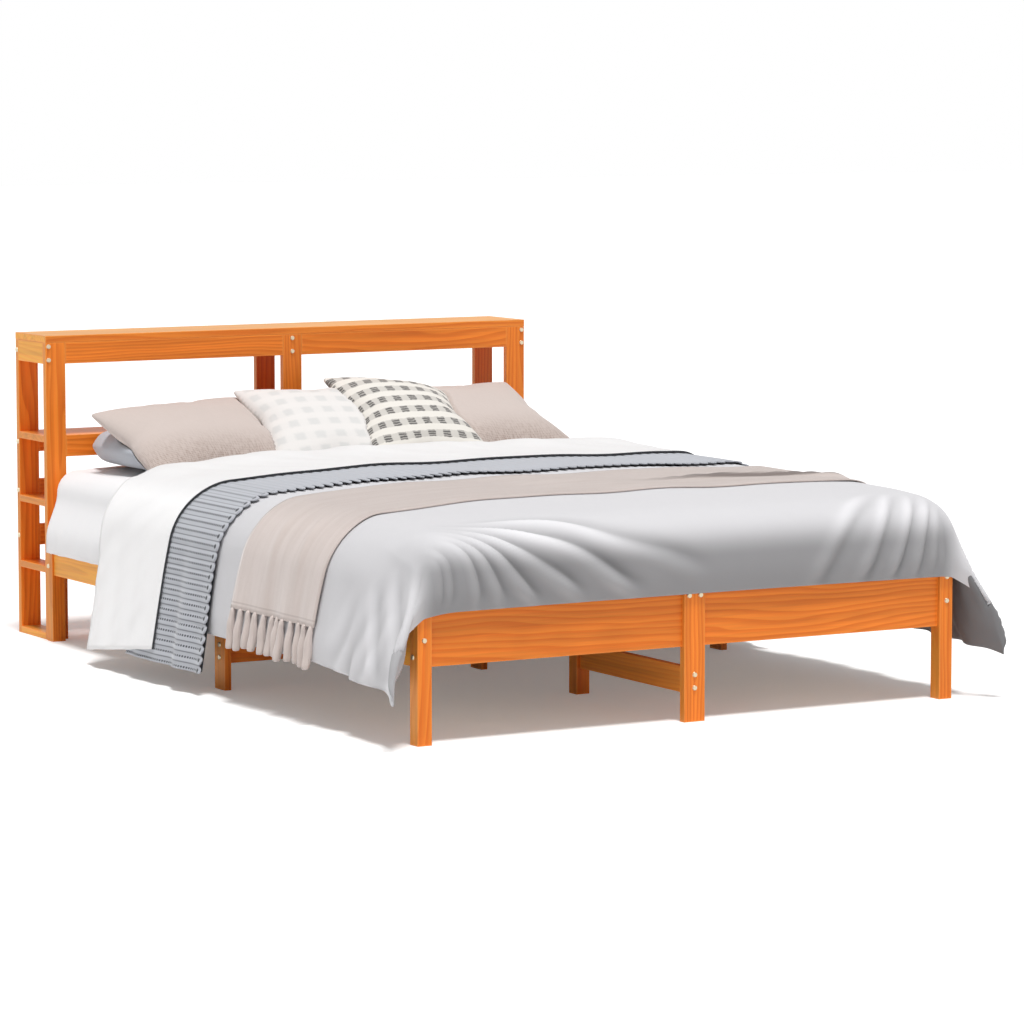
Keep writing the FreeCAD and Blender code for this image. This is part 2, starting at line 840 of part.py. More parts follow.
class Pillow:
    """A stuffed case, thin at its seams, that lies flat or leans back."""

    def __init__(self, size, place, lie):
        self.length, self.height, self.plump = size
        self.place = place
        self.turn, self.lean = lie

    def solid(self, grown=0):
        """The pillow in its place, or one larger by grown on every side."""
        wires = []
        for share in padded_station_shares:
            fullness = 1 - share * share
            pinch = 1 - seam_pinch_share * fullness
            plump = seam_thickness + (self.plump - seam_thickness) * math.sqrt(fullness)
            half_height = self.height / 2 * pinch + grown
            half_thickness = plump / 2 + grown
            x = (self.length / 2 + grown) * share
            low = FreeCAD.Vector(x, -half_height, 0)
            high = FreeCAD.Vector(x, half_height, 0)
            front = FreeCAD.Vector(x, 0, half_thickness)
            back = FreeCAD.Vector(x, 0, -half_thickness)
            wires.append(Part.Wire([arc(low, front, high), arc(high, back, low)]))
        shape = Part.makeLoft(wires, True, False)
        x, from_foot, height = self.place
        shape.rotate(FreeCAD.Vector(0, 0, 0), rightward, self.lean)
        shape.rotate(FreeCAD.Vector(0, 0, 0), upward, self.turn)
        shape.translate(FreeCAD.Vector(x, foot_face + from_foot, height))
        return shape

    def lying(self, pressed_by=()):
        """The pillow flat where it rests on the sheet, and dented by the pillows upon it."""
        far = outer_half_width + overrun
        floor = sheet_top + soft_rest_gap
        bed = block(-far, far, foot_face, headboard_front, 0, floor)
        shape = self.solid().cut(bed)
        for other in pressed_by:
            shape = shape.cut(other.solid(soft_rest_gap))
        return max(shape.Solids, key=lambda solid: solid.Volume)


def pillow_parts():
    """The pillows and cushions by node name."""
    grey = Pillow(grey_pillow_size, grey_pillow_place, grey_pillow_lie)
    taupe_left = Pillow(taupe_pillow_size, left_taupe_place, left_taupe_lie)
    taupe_right = Pillow(taupe_pillow_size, right_taupe_place, right_taupe_lie)
    light = Pillow(light_cushion_size, light_cushion_place, light_cushion_lie)
    check = Pillow(check_cushion_size, check_cushion_place, check_cushion_lie)
    return {
        "pillow_grey": grey.lying([taupe_left, light]),
        "pillow_taupe_left": taupe_left.lying([light]),
        "pillow_taupe_right": taupe_right.lying([check]),
        "cushion_light": light.lying([check]),
        "cushion_check": check.lying(),
    }


def bedding_parts():
    """Mattress, cloths and pillows by node name."""
    parts = {"mattress": mattress(), "fitted_sheet": fitted_sheet(), "duvet": duvet()}
    parts["knitted_blanket"] = upper_cloth(
        knit_foot_edge, knit_head_edge, knit_hem_height, knit_thickness, knit_top
    )
    parts["coverlet"] = upper_cloth(
        coverlet_foot_edge,
        coverlet_head_edge,
        coverlet_hem_height,
        coverlet_thickness,
        coverlet_top,
    )
    parts["throw"] = upper_cloth(
        throw_foot_edge, throw_head_edge, throw_hem_height, throw_thickness, throw_top
    )
    parts["throw_tassels"] = throw_tassels()
    parts.update(pillow_parts())
    return parts


def main():
    """Builds every piece and writes one file per node."""
    bolts = frame_bolts() + headboard_bolts()
    screws = screw_places()
    dowels = dowel_places()
    bores = [bore for b in bolts for bore in b.bores()]
    bores += [screw(seat, direction, screw_clearance) for seat, direction in screws]
    bores += [dowel(*place, dowel_clearance) for place in dowels]
    timbers = frame_parts()
    timbers.update(headboard_parts())
    parts = drilled(timbers, bores)
    parts["bolts"] = Part.Compound([b.solid() for b in bolts])
    parts["barrel_nuts"] = Part.Compound([b.nut() for b in bolts if b.across is not None])
    parts["screws"] = Part.Compound([screw(seat, direction) for seat, direction in screws])
    parts["dowels"] = Part.Compound([dowel(*place) for place in dowels])
    parts.update(bedding_parts())
    os.makedirs("parts", exist_ok=True)
    for name, shape in parts.items():
        shape.exportStep("parts/" + name + ".step")
        print(name, len(shape.Solids), shape.isValid(), round(shape.Volume))


main()
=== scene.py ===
"""Looks of the pine bed: finishes for its timber and metal, and its mattress and bedding as cloth."""

import json
import logging
import math
from collections.abc import Iterator
from contextlib import contextmanager
from dataclasses import dataclass
from enum import Enum

import bpy
import numpy as np
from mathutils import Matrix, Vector
from mathutils.bvhtree import BVHTree

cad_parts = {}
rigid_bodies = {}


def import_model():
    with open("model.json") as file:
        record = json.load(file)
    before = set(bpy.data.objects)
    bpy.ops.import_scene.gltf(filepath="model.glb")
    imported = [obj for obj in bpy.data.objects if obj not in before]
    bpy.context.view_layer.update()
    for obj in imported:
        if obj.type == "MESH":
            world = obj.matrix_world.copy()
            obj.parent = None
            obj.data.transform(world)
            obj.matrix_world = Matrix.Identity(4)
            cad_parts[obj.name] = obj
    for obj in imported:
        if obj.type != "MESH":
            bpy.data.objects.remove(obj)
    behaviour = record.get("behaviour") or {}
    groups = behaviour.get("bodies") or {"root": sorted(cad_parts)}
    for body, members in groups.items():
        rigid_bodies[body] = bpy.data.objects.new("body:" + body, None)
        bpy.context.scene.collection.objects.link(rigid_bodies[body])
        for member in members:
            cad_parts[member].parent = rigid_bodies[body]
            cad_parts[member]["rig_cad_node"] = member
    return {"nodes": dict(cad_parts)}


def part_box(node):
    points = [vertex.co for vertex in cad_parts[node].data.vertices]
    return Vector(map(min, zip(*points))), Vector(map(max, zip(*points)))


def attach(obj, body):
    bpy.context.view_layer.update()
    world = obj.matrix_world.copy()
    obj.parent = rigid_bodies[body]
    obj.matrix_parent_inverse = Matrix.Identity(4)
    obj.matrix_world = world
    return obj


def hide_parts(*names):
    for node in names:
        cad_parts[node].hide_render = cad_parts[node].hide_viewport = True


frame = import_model()

log = logging.getLogger("pine_bed")

Array = np.ndarray
Colour = tuple[float, float, float, float]
Piece = bpy.types.Object
Socket = bpy.types.NodeSocket
BODY = "root"

# The foot rail's face and the sheet's top, in metres
FOOT_FACE = -1.0853
SHEET_TOP = 0.4705

# How the made bed falls at its sides: at which height its drops stand half its width out, how far
# they lean out below, how far the left edge has sunk, how deep the side folds and the dents on top
# are, and between which heights a cloth turns to lie flat
SHOULDER_HEIGHT = 0.43
SIDE_FLARE = 0.165
SLUMP = 0.016
SIDE_FOLD = 0.011
TOP_DENT = 0.0035
LYING = (0.44, 0.49)

# The width of one row of the knit
KNIT_ROW = 0.0262


# Plain helpers for meshes


def deselect() -> None:
    """Clears the selection, so that an operator acts on the new piece alone."""
    bpy.ops.object.select_all(action="DESELECT")


def take(piece: Piece) -> None:
    """Selects one piece alone and makes it the active one.

    Args:
        piece: The piece.
    """
    deselect()
    piece.select_set(True)
    bpy.context.view_layer.objects.active = piece


def name_piece(piece: Piece, name: str) -> Piece:
    """Gives a piece and its mesh one name."""
    piece.name = piece.data.name = name
    return piece


def points_of(piece: Piece) -> Array:
    """Reads a mesh's points as an array with a row each.

    Args:
        piece: The mesh object.

    Returns:
        The points.
    """
    flat = np.zeros(len(piece.data.vertices) * 3)
    piece.data.vertices.foreach_get("co", flat)
    return flat.reshape(-1, 3)


def set_points(piece: Piece, points: Array) -> None:
    """Moves a mesh's points to the rows of an array."""
    piece.data.vertices.foreach_set("co", np.ascontiguousarray(points).ravel())
    piece.data.update()


def finish_modifier(piece: Piece, kind: str, **settings: object) -> None:
    """Adds a modifier, sets it, and applies it.

    Args:
        piece: The mesh object.
        kind: The modifier's type, such as "SOLIDIFY".
        **settings: The modifier's properties.
    """
    take(piece)
    modifier = piece.modifiers.new(kind.lower(), kind)
    for name, value in settings.items():
        setattr(modifier, name, value)
    bpy.ops.object.modifier_apply(modifier=modifier.name)


@contextmanager
def editing(piece: Piece) -> Iterator[None]:
    """Opens a piece in edit mode with all of it selected, and closes it again.

    Args:
        piece: The mesh object.
    """
    take(piece)
    bpy.ops.object.mode_set(mode="EDIT")
    bpy.ops.mesh.select_all(action="SELECT")
    yield
    bpy.ops.object.mode_set(mode="OBJECT")


def smooth(piece: Piece) -> None:
    """Shades a whole piece smooth."""
    take(piece)
    bpy.ops.object.shade_smooth()


def join(pieces: list[Piece], name: str) -> Piece:
    """Joins pieces into one mesh.

    Args:
        pieces: The meshes, the first of which the others join.
        name: The joined piece's name.

    Returns:
        The joined piece.
    """
    deselect()
    for piece in pieces:
        piece.select_set(True)
    bpy.context.view_layer.objects.active = pieces[0]
    bpy.ops.object.join()
    return name_piece(pieces[0], name)


def tree_of(piece: Piece) -> BVHTree:
    """Makes a search tree of a piece's faces as they stand."""
    mesh = piece.data
    return BVHTree.FromPolygons([v.co for v in mesh.vertices], [tuple(p.vertices) for p in mesh.polygons])


def lay_uv(piece: Piece, flat: Array) -> None:
    """Gives a grid its UV map, which is its flat cut in metres with 0 in the middle.

    Args:
        piece: The grid.
        flat: Its flat cut's points.
    """
    corners = np.zeros(len(piece.data.loops), int)
    piece.data.loops.foreach_get("vertex_index", corners)
    piece.data.uv_layers[0].data.foreach_set("uv", np.ascontiguousarray(flat[corners, :2]).ravel())


def cut_cloth(name: str, width: float, length: float, across: float, along: float) -> Piece:
    """Cuts a flat rectangle of cloth as a grid, with its UV map in metres.

    Args:
        name: The piece's name.
        width: Its size along X.
        length: Its size along Y.
        across: The grid's spacing along X.
        along: The grid's spacing along Y.

    Returns:
        The flat piece, with its middle at the origin.
    """
    deselect()
    bpy.ops.mesh.primitive_grid_add(
        x_subdivisions=round(width / across), y_subdivisions=round(length / along), size=1.0
    )
    piece = name_piece(bpy.context.object, name)
    bpy.ops.transform.resize(value=(width, length, 1.0))
    bpy.ops.object.transform_apply(location=True, rotation=True, scale=True)
    lay_uv(piece, points_of(piece))
    return piece


def link_new(name: str, data: bpy.types.ID) -> Piece:
    """Puts a new object with that data into the scene.

    Args:
        name: The object's name.
        data: Its mesh, curve, light or camera.

    Returns:
        The object.
    """
    piece = bpy.data.objects.new(name, data)
    bpy.context.scene.collection.objects.link(piece)
    return piece


def turned(first: Array, second: Array, angle: float) -> tuple[Array, Array]:
    """Turns a pair of coordinates by an angle."""
    one, other = math.cos(angle), math.sin(angle)
    return first * one - second * other, first * other + second * one


def ease(value: Array | float, low: float, high: float) -> Array:
    """Rises smoothly from 0 at low to 1 at high."""
    share = np.clip((np.asarray(value, float) - low) / (high - low), 0.0, 1.0)
    return share * share * (3.0 - 2.0 * share)


def ripple(along: Array, seed: int, shortest: float, longest: float, count: int = 6) -> Array:
    """An uneven wave, about one high, for folds that nobody has laid by rule.

    Args:
        along: Where the wave is read.
        seed: Chooses the wave.
        shortest: The shortest wavelength in it.
        longest: The longest wavelength in it.
        count: How many plain waves it is made of.

    Returns:
        The wave's height at each place.
    """
    rng = np.random.default_rng(seed)
    total = np.zeros_like(np.asarray(along, float))
    for share in np.linspace(0.0, 1.0, count):
        length = shortest * (longest / shortest) ** share
        phase = 2 * math.pi * np.asarray(along) / length + rng.uniform(0, 2 * math.pi)
        total += np.sin(phase) * rng.uniform(0.5, 1.0)
    return total / math.sqrt(count)


# Node trees


class Tree:
    """A node tree with short calls that add nodes and join them."""

    def __init__(self, tree: bpy.types.NodeTree) -> None:
        """Keeps the tree that the calls work on."""
        self.tree = tree

    def add(self, kind: str, inputs: dict | None = None, **settings: object) -> bpy.types.Node:
        """Adds a node.

        Args:
            kind: The node's type.
            inputs: What goes into its inputs, by name or number.
            **settings: The node's properties.

        Returns:
            The node.
        """
        node = self.tree.nodes.new(kind)
        for name, value in settings.items():
            setattr(node, name, value)
        self.fill(node, inputs or {})
        return node

    def fill(self, node: bpy.types.Node, values: dict) -> None:
        """Sets a node's inputs, by name or number, or joins them to other nodes' outputs.

        Args:
            node: The node.
            values: Plain values or outputs, by the name or number of the input.
        """
        for name, value in values.items():
            if isinstance(value, Socket):
                self.tree.links.new(value, node.inputs[name])
            else:
                node.inputs[name].default_value = value

    def math(self, operation: str, *values: object, clamp: bool = False) -> Socket:
        """Adds a Math node on up to three values and returns its output."""
        node = self.add("ShaderNodeMath", dict(enumerate(values)), operation=operation, use_clamp=clamp)
        return node.outputs[0]

    def vector(self, operation: str, *values: object) -> Socket:
        """Adds a Vector Math node and returns its vector output."""
        return self.add("ShaderNodeVectorMath", dict(enumerate(values)), operation=operation).outputs[0]

    def times(self, *values: object) -> Socket:
        """Multiplies values and outputs with each other.

        Args:
            *values: The factors.

        Returns:
            The product.
        """
        product = values[0]
        for value in values[1:]:
            product = self.math("MULTIPLY", product, value)
        return product

    def apart(self, first: object, second: object) -> Socket:
        """How far two values are apart."""
        return self.math("ABSOLUTE", self.math("SUBTRACT", first, second))

    def wave(self, along: object, length: float) -> Socket:
        """A sine wave of that length."""
        return self.math("SINE", self.math("MULTIPLY", along, 2 * math.pi / length))

    def here(self) -> Socket:
        """The place in object coordinates."""
        return self.add("ShaderNodeTexCoord").outputs["Object"]

    def split(self, vector: object) -> bpy.types.bpy_prop_collection:
        """Splits a vector into its X, Y and Z."""
        return self.add("ShaderNodeSeparateXYZ", {0: vector}).outputs

    def stretch(self, vector: object, scale: tuple[float, float, float]) -> Socket:
        """Scales each axis of a vector by its own factor."""
        return self.add("ShaderNodeMapping", {"Vector": vector, "Scale": scale}).outputs[0]

    def grey(self, tone: object) -> Socket:
        """Makes a grey of a value."""
        return self.add("ShaderNodeCombineColor", dict.fromkeys(range(3), tone)).outputs[0]

    def tinted(self, colour: object, tone: object) -> Socket:
        """Darkens or lightens a colour by a value."""
        return self.blend(1.0, colour, self.grey(tone), "MULTIPLY")

    def noise(self, vector: object, scale: object, detail: float = 2.0, rough: float = 0.5) -> Socket:
        """Adds a Noise Texture and returns its value."""
        inputs = {"Vector": vector, "Scale": scale, "Detail": detail, "Roughness": rough}
        return self.add("ShaderNodeTexNoise", inputs).outputs["Fac"]

    def steps(self, value: object, low: float, high: float, start: float = 0.0, end: float = 1.0) -> Socket:
        """Adds a smooth Map Range from its start to its end and returns its value."""
        inputs = {"Value": value, "From Min": low, "From Max": high, "To Min": start, "To Max": end}
        return self.add("ShaderNodeMapRange", inputs, interpolation_type="SMOOTHSTEP").outputs[0]

    def blend(self, share: object, first: object, second: object, how: str = "MIX") -> Socket:
        """Mixes two colours and returns the result.

        Args:
            share: How much of the second there is.
            first: One colour.
            second: The other colour.
            how: The way that they are mixed.

        Returns:
            The mixed colour.
        """
        node = self.add("ShaderNodeMix", data_type="RGBA", blend_type=how)
        self.fill(node, {0: share, 6: first, 7: second})
        return node.outputs[2]

    def bump(self, height: object, distance: float, strength: float = 1.0) -> Socket:
        """Adds a Bump node and returns its normal."""
        inputs = {"Height": height, "Distance": distance, "Strength": strength}
        return self.add("ShaderNodeBump", inputs).outputs["Normal"]

    def place(self, group: bpy.types.NodeTree, **inputs: object) -> bpy.types.Node:
        """Places a node group with its own values, named with underscores for spaces.

        Args:
            group: The node group.
            **inputs: Its values.

        Returns:
            The node.
        """
        node = self.add("ShaderNodeGroup", node_tree=group)
        self.fill(node, {name.replace("_", " "): value for name, value in inputs.items()})
        return node


def new_group(name: str, inputs: dict[str, str], outputs: dict[str, str]) -> tuple:
    """Starts a shader node group with named sockets.

    Args:
        name: The group's name.
        inputs: Socket type by name, as "Float", "Vector" or "Color".
        outputs: The same for what it puts out.

    Returns:
        The group, its Tree, its input node and its output node.
    """
    group = bpy.data.node_groups.new(name, "ShaderNodeTree")
    for way, sockets in (("INPUT", inputs), ("OUTPUT", outputs)):
        for socket, kind in sockets.items():
            group.interface.new_socket(name=socket, in_out=way, socket_type=f"NodeSocket{kind}")
    tree = Tree(group)
    return group, tree, tree.add("NodeGroupInput"), tree.add("NodeGroupOutput")


def make_grain_group() -> bpy.types.NodeTree:
    """Growth rings, fibres and knots of softwood, for a board whose grain runs along X.

    Returns:
        The node group.
    """
    group, tree, given, made = new_group(
        "softwood_grain",
        {"Vector": "Vector", "Pith": "Vector", "Ring Pitch": "Float", "Wander": "Float", "Knots": "Float"},
        {"Rings": "Float", "Fibre": "Float", "Streak": "Float", "Knot": "Float"},
    )
    here = given.outputs["Vector"]
    from_pith = tree.vector("ADD", here, given.outputs["Pith"])
    drift = tree.math("SUBTRACT", tree.noise(tree.stretch(from_pith, (0.9, 7.0, 7.0)), 1.0, 3.0, 0.45), 0.5)
    cell = tree.stretch(from_pith, (1.0, 0.35, 0.35))
    knot_far = tree.add(
        "ShaderNodeTexVoronoi", {"Vector": cell, "Scale": 2.1, "Randomness": 1.0}, feature="F1"
    ).outputs["Distance"]
    swirl = tree.times(tree.steps(knot_far, 0.0, 0.17, 1.0, 0.0), given.outputs["Knots"])
    split = tree.split(from_pith)
    flat = tree.add("ShaderNodeCombineXYZ", {1: split[1], 2: split[2]}).outputs[0]
    radius = tree.add("ShaderNodeVectorMath", {0: flat}, operation="LENGTH").outputs["Value"]
    bent = tree.math("MULTIPLY_ADD", drift, given.outputs["Wander"], radius)
    bent = tree.math("MULTIPLY_ADD", swirl, 0.018, bent)
    turn = tree.math("FRACT", tree.math("DIVIDE", bent, given.outputs["Ring Pitch"]))
    late = tree.times(tree.steps(turn, 0.15, 0.86), tree.steps(turn, 0.9, 1.0, 1.0, 0.0))
    fibre = tree.noise(tree.stretch(here, (9.0, 620.0, 620.0)), 1.0, 2.0, 0.6)
    streak = tree.noise(tree.stretch(here, (1.6, 42.0, 42.0)), 1.0, 3.0, 0.55)
    knot = tree.times(tree.steps(knot_far, 0.012, 0.03, 1.0, 0.0), given.outputs["Knots"])
    tree.fill(made, {"Rings": late, "Fibre": fibre, "Streak": streak, "Knot": knot})
    return group


def make_edge_group() -> bpy.types.NodeTree:
    """A mask of a board's long edges and corners, from its middle and half size.

    Returns:
        The node group.
    """
    group, tree, given, made = new_group(
        "board_edges", {"Vector": "Vector", "Half Size": "Vector", "Width": "Float"}, {"Mask": "Float"}
    )
    from_middle = tree.vector("ABSOLUTE", given.outputs["Vector"])
    split = tree.split(tree.vector("SUBTRACT", given.outputs["Half Size"], from_middle))
    low = tree.math("MINIMUM", split[0], split[1])
    high = tree.math("MAXIMUM", split[0], split[1])
    middle = tree.math("MAXIMUM", low, tree.math("MINIMUM", high, split[2]))
    rough = tree.noise(given.outputs["Vector"], 60.0, 3.0, 0.6)
    wide = tree.times(given.outputs["Width"], tree.math("ADD", rough, 0.5))
    mask = tree.math("SUBTRACT", 1.0, tree.math("DIVIDE", middle, wide), clamp=True)
    tree.fill(made, {"Mask": mask})
    return group


def make_weave_group() -> bpy.types.NodeTree:
    """Threads of a plain weave across a UV map in metres, with slubs.

    Returns:
        The node group.
    """
    group, tree, given, made = new_group(
        "plain_weave",
        {"Vector": "Vector", "Threads": "Float", "Slub": "Float"},
        {"Height": "Float", "Tone": "Float"},
    )
    here = given.outputs["Vector"]
    turns = tree.times(given.outputs["Threads"], 2 * math.pi)
    split = tree.split(here)
    across = tree.math("SINE", tree.times(split[0], turns))
    along = tree.math("SINE", tree.times(split[1], turns))
    drawn = [tree.stretch(here, scale) for scale in ((30.0, 900.0, 1.0), (900.0, 30.0, 1.0))]
    slub = tree.math("ADD", *(tree.noise(one, 1.0, 2.0, 0.6) for one in drawn))
    tone = tree.times(tree.math("SUBTRACT", slub, 1.0), given.outputs["Slub"])
    height = tree.math("MULTIPLY_ADD", tree.times(across, along), 0.5, tone)
    tree.fill(made, {"Height": height, "Tone": tone})
    return group


def make_mottle_group() -> bpy.types.NodeTree:
    """Soft uneven tone of washed cloth or rubbed metal, at two sizes.

    Returns:
        The node group.
    """
    group, tree, given, made = new_group(
        "soft_mottle", {"Vector": "Vector", "Scale": "Float", "Amount": "Float"}, {"Tone": "Float"}
    )
    here, scale = given.outputs["Vector"], given.outputs["Scale"]
    large = tree.noise(here, scale, 3.0)
    small = tree.noise(here, tree.times(scale, 6.0))
    both = tree.math("MULTIPLY_ADD", small, 0.4, tree.times(large, 0.6))
    tone = tree.times(tree.math("SUBTRACT", both, 0.5), given.outputs["Amount"])
    tree.fill(made, {"Tone": tone})
    return group


@dataclass
class Effects:
    """The node groups that more than one material uses."""

    grain: bpy.types.NodeTree
    edges: bpy.types.NodeTree
    weave: bpy.types.NodeTree
    mottle: bpy.types.NodeTree

    @classmethod
    def build(cls) -> "Effects":
        """Builds each group once."""
        return cls(make_grain_group(), make_edge_group(), make_weave_group(), make_mottle_group())


def start_material(name: str) -> tuple[bpy.types.Material, Tree, bpy.types.Node]:
    """Makes a material and returns it with its Tree and its Principled node.

    Args:
        name: The material's name.

    Returns:
        The material, its Tree and its Principled node.
    """
    material = bpy.data.materials.new(name)
    material.use_nodes = True
    tree = Tree(material.node_tree)
    shader = next(n for n in material.node_tree.nodes if n.type == "BSDF_PRINCIPLED")
    return material, tree, shader


class Grain(Enum):
    """The axis that a board's grain runs along."""

    X = 0
    Y = 1
    Z = 2


@dataclass(frozen=True)
class TimberFinish:
    """Waxed or plain softwood, or the harder wood of the dowels."""

    name: str
    early: Colour
    late: Colour
    knot: Colour
    ring_pitch: float = 0.0105
    wander: float = 0.11
    ring_share: float = 0.6
    roughness: float = 0.45
    wax: float = 0.04
    knots: float = 1.0
    # Painted light: lighter colours for each board's left faces and top faces, where the light falls, and
    # how much of each is mixed in
    painted_left_light: Colour = (0.76, 0.35, 0.06, 1)
    painted_top_light: Colour = (0.76, 0.35, 0.06, 1)
    painted_left_light_share: float = 0.6
    painted_top_light_share: float = 0.42
    edge_width: float = 0.0045
    edge_highlight_share: float = 0.6
    relief: float = 0.0003

    def material(self, effects: Effects, board: str, grain: Grain) -> bpy.types.Material:
        """Makes the finish for one board, turned to its grain and set on its middle.

        Args:
            effects: The shared node groups.
            board: The CAD node's name.
            grain: The axis that its grain runs along.

        Returns:
            The material.
        """
        low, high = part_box(board)
        middle = (low + high) / 2
        half = (high - low) / 2
        turn = {Grain.X: (0, 0, 0), Grain.Y: (0, 0, -math.pi / 2), Grain.Z: (0, math.pi / 2, 0)}[grain]
        centre = {
            Grain.X: (middle.x, middle.y, middle.z),
            Grain.Y: (middle.y, -middle.x, middle.z),
            Grain.Z: (middle.z, middle.y, -middle.x),
        }[grain]
        size = {
            Grain.X: half,
            Grain.Y: Vector((half.y, half.x, half.z)),
            Grain.Z: Vector((half.z, half.y, half.x)),
        }[grain]
        rng = np.random.default_rng(sum(ord(letter) * (i + 3) for i, letter in enumerate(board)))
        pith = (float(rng.uniform(-4, 4)), float(rng.uniform(-0.05, 0.05)), float(rng.uniform(0.03, 0.09)))
        shade = float(rng.uniform(0.93, 1.05))
        material, tree, shader = start_material(f"{self.name}_{board}")
        here = tree.here()
        inputs = {"Vector": here, "Location": tuple(-v for v in centre), "Rotation": turn}
        board_space = tree.add("ShaderNodeMapping", inputs).outputs[0]
        wood = tree.place(
            effects.grain,
            Vector=board_space,
            Pith=pith,
            Ring_Pitch=self.ring_pitch,
            Wander=self.wander,
            Knots=self.knots,
        ).outputs
        edges = tree.place(effects.edges, Vector=board_space, Half_Size=size, Width=self.edge_width)
        edge_wear_and_highlight = edges.outputs["Mask"]
        early = tuple(c * shade for c in self.early[:3]) + (1.0,)
        rings = tree.times(wood["Rings"], self.ring_share)
        colour = tree.blend(rings, early, self.late)
        streak = tree.steps(wood["Streak"], 0.25, 0.75, 0.86, 1.12)
        fibre = tree.steps(wood["Fibre"], 0.2, 0.8, 0.94, 1.06)
        tone = tree.times(streak, fibre)
        colour = tree.tinted(colour, tone)
        colour = tree.blend(wood["Knot"], colour, self.knot)
        spot = tree.split(here)
        # Painted light: the left faces and the top faces are mixed towards their lit colours
        left = tree.steps(spot[0], low.x + 0.0004, low.x + 0.0014, 1.0, 0.0)
        above = tree.steps(spot[2], high.z - 0.0014, high.z - 0.0004, 0.0, self.painted_top_light_share)
        for share, painted_lit_colour in ((tree.times(left, self.painted_left_light_share), self.painted_left_light), (above, self.painted_top_light)):
            ringed = tree.blend(tree.times(rings, 0.35), painted_lit_colour, self.late)
            colour = tree.blend(share, colour, tree.tinted(ringed, tone))
        # Painted highlight: the edges are lightened towards a paler colour; the same mask smooths their
        # roughness, as wear does
        light = tuple(min(1.0, c * 1.25 + 0.03) for c in self.early[:3]) + (1.0,)
        colour = tree.blend(tree.times(edge_wear_and_highlight, self.edge_highlight_share), colour, light)
        dull = tree.math("MULTIPLY_ADD", wood["Fibre"], 0.12, self.roughness - 0.06)
        height = tree.math("MULTIPLY_ADD", wood["Fibre"], 0.35, wood["Rings"])
        values = {
            "Base Color": colour,
            "Roughness": tree.math("MULTIPLY_ADD", edge_wear_and_highlight, -0.08, dull),
            "Specular IOR Level": 0.3,
            "Coat Weight": self.wax,
            "Coat Roughness": 0.3,
            "Normal": tree.bump(height, self.relief, 0.5),
        }
        tree.fill(shader, values)
        return material


@dataclass(frozen=True)
class MetalFinish:
    """Bright zinc on bolts, nuts and screws."""

    name: str
    colour: Colour
    roughness: float = 0.28

    def material(self, effects: Effects) -> bpy.types.Material:
        """Makes the finish, rubbed a little uneven.

        Args:
            effects: The shared node groups.

        Returns:
            The material.
        """
        material, tree, shader = start_material(self.name)
        here = tree.here()
        tone = tree.place(effects.mottle, Vector=here, Scale=180.0, Amount=0.5).outputs["Tone"]
        dark = tuple(c * 0.7 for c in self.colour[:3]) + (1.0,)
        share = tree.math("ADD", tone, 0.35, clamp=True)
        values = {
            "Base Color": tree.blend(share, self.colour, dark),
            "Roughness": tree.math("MULTIPLY_ADD", tone, 0.5, self.roughness),
            "Normal": tree.bump(tone, 0.0001, 0.4),
            "Metallic": 1.0,
        }
        tree.fill(shader, values)
        return material


@dataclass(frozen=True)
class ClothFinish:
    """A woven cloth, read from the piece's UV map in metres."""

    name: str
    colour: Colour
    shade: Colour
    threads: float = 1400.0
    slub: float = 0.25
    mottle: float = 0.5
    sheen: float = 0.25
    roughness: float = 0.85
    bump: float = 0.0002
    painted_top_shade: float = 1.0

    def pattern(self, tree: Tree, uv: Socket, colour: Socket) -> Socket:
        """Adds to the plain cloth what its kind shows; a plain cloth shows nothing more."""
        return colour

    def material(self, effects: Effects) -> bpy.types.Material:
        """Makes the cloth's material.

        Args:
            effects: The shared node groups.

        Returns:
            The material.
        """
        material, tree, shader = start_material(self.name)
        uv = tree.add("ShaderNodeUVMap").outputs[0]
        here = tree.here()
        weave = tree.place(effects.weave, Vector=uv, Threads=self.threads, Slub=self.slub).outputs
        tone = tree.place(effects.mottle, Vector=here, Scale=5.0, Amount=self.mottle).outputs["Tone"]
        share = tree.math("ADD", tree.math("ADD", tone, weave["Tone"]), 0.25, clamp=True)
        colour = tree.blend(share, self.colour, self.shade)
        # Painted shade: the cloth is darker where it lies flat on top of the bed
        if self.painted_top_shade < 1.0:
            colour = tree.tinted(colour, tree.steps(tree.split(here)[2], *LYING, 1.0, self.painted_top_shade))
        values = {
            "Base Color": self.pattern(tree, uv, colour),
            "Roughness": self.roughness,
            "Sheen Weight": self.sheen,
            "Sheen Roughness": 0.5,
            "Normal": tree.bump(weave["Height"], self.bump, 0.6),
        }
        tree.fill(shader, values)
        return material


@dataclass(frozen=True)
class DuvetFinish(ClothFinish):
    """The duvet's cotton, with painted shade down its foot end and painted shade and highlight in its
    folds.
    """

    painted_foot_shade: float = 0.46
    low: tuple[float, float] = (0.385, 0.465)
    at_foot: tuple[float, float] = (-1.0, -0.94)
    between_legs: tuple[float, float] = (0.69, 0.76)

    def pattern(self, tree: Tree, uv: Socket, colour: Socket) -> Socket:
        """Paints shade on the foot band between the legs, and paints shade and highlight on the folds from
        the piece's own attribute.

        Args:
            tree: The material's tree.
            uv: Not used; where on the cloth's flat cut it would be read, in metres.
            colour: The plain cloth's colour.

        Returns:
            The colour with what was added.
        """
        place = tree.split(tree.here())
        low = tree.steps(place[2], *self.low, 1.0, 0.0)
        at_foot = tree.steps(place[1], *self.at_foot, 1.0, 0.0)
        inner = tree.steps(tree.math("ABSOLUTE", place[0]), *self.between_legs, 1.0, 0.0)
        tone = tree.math("MULTIPLY_ADD", tree.times(low, at_foot, inner), self.painted_foot_shade - 1.0, 1.0)
        # The shade attribute holds painted shade in the fold valleys and on the drops' inner side, and
        # painted highlight on the ridges
        marked = tree.add("ShaderNodeAttribute", attribute_name="shade").outputs["Fac"]
        return tree.tinted(colour, tree.times(tone, marked))


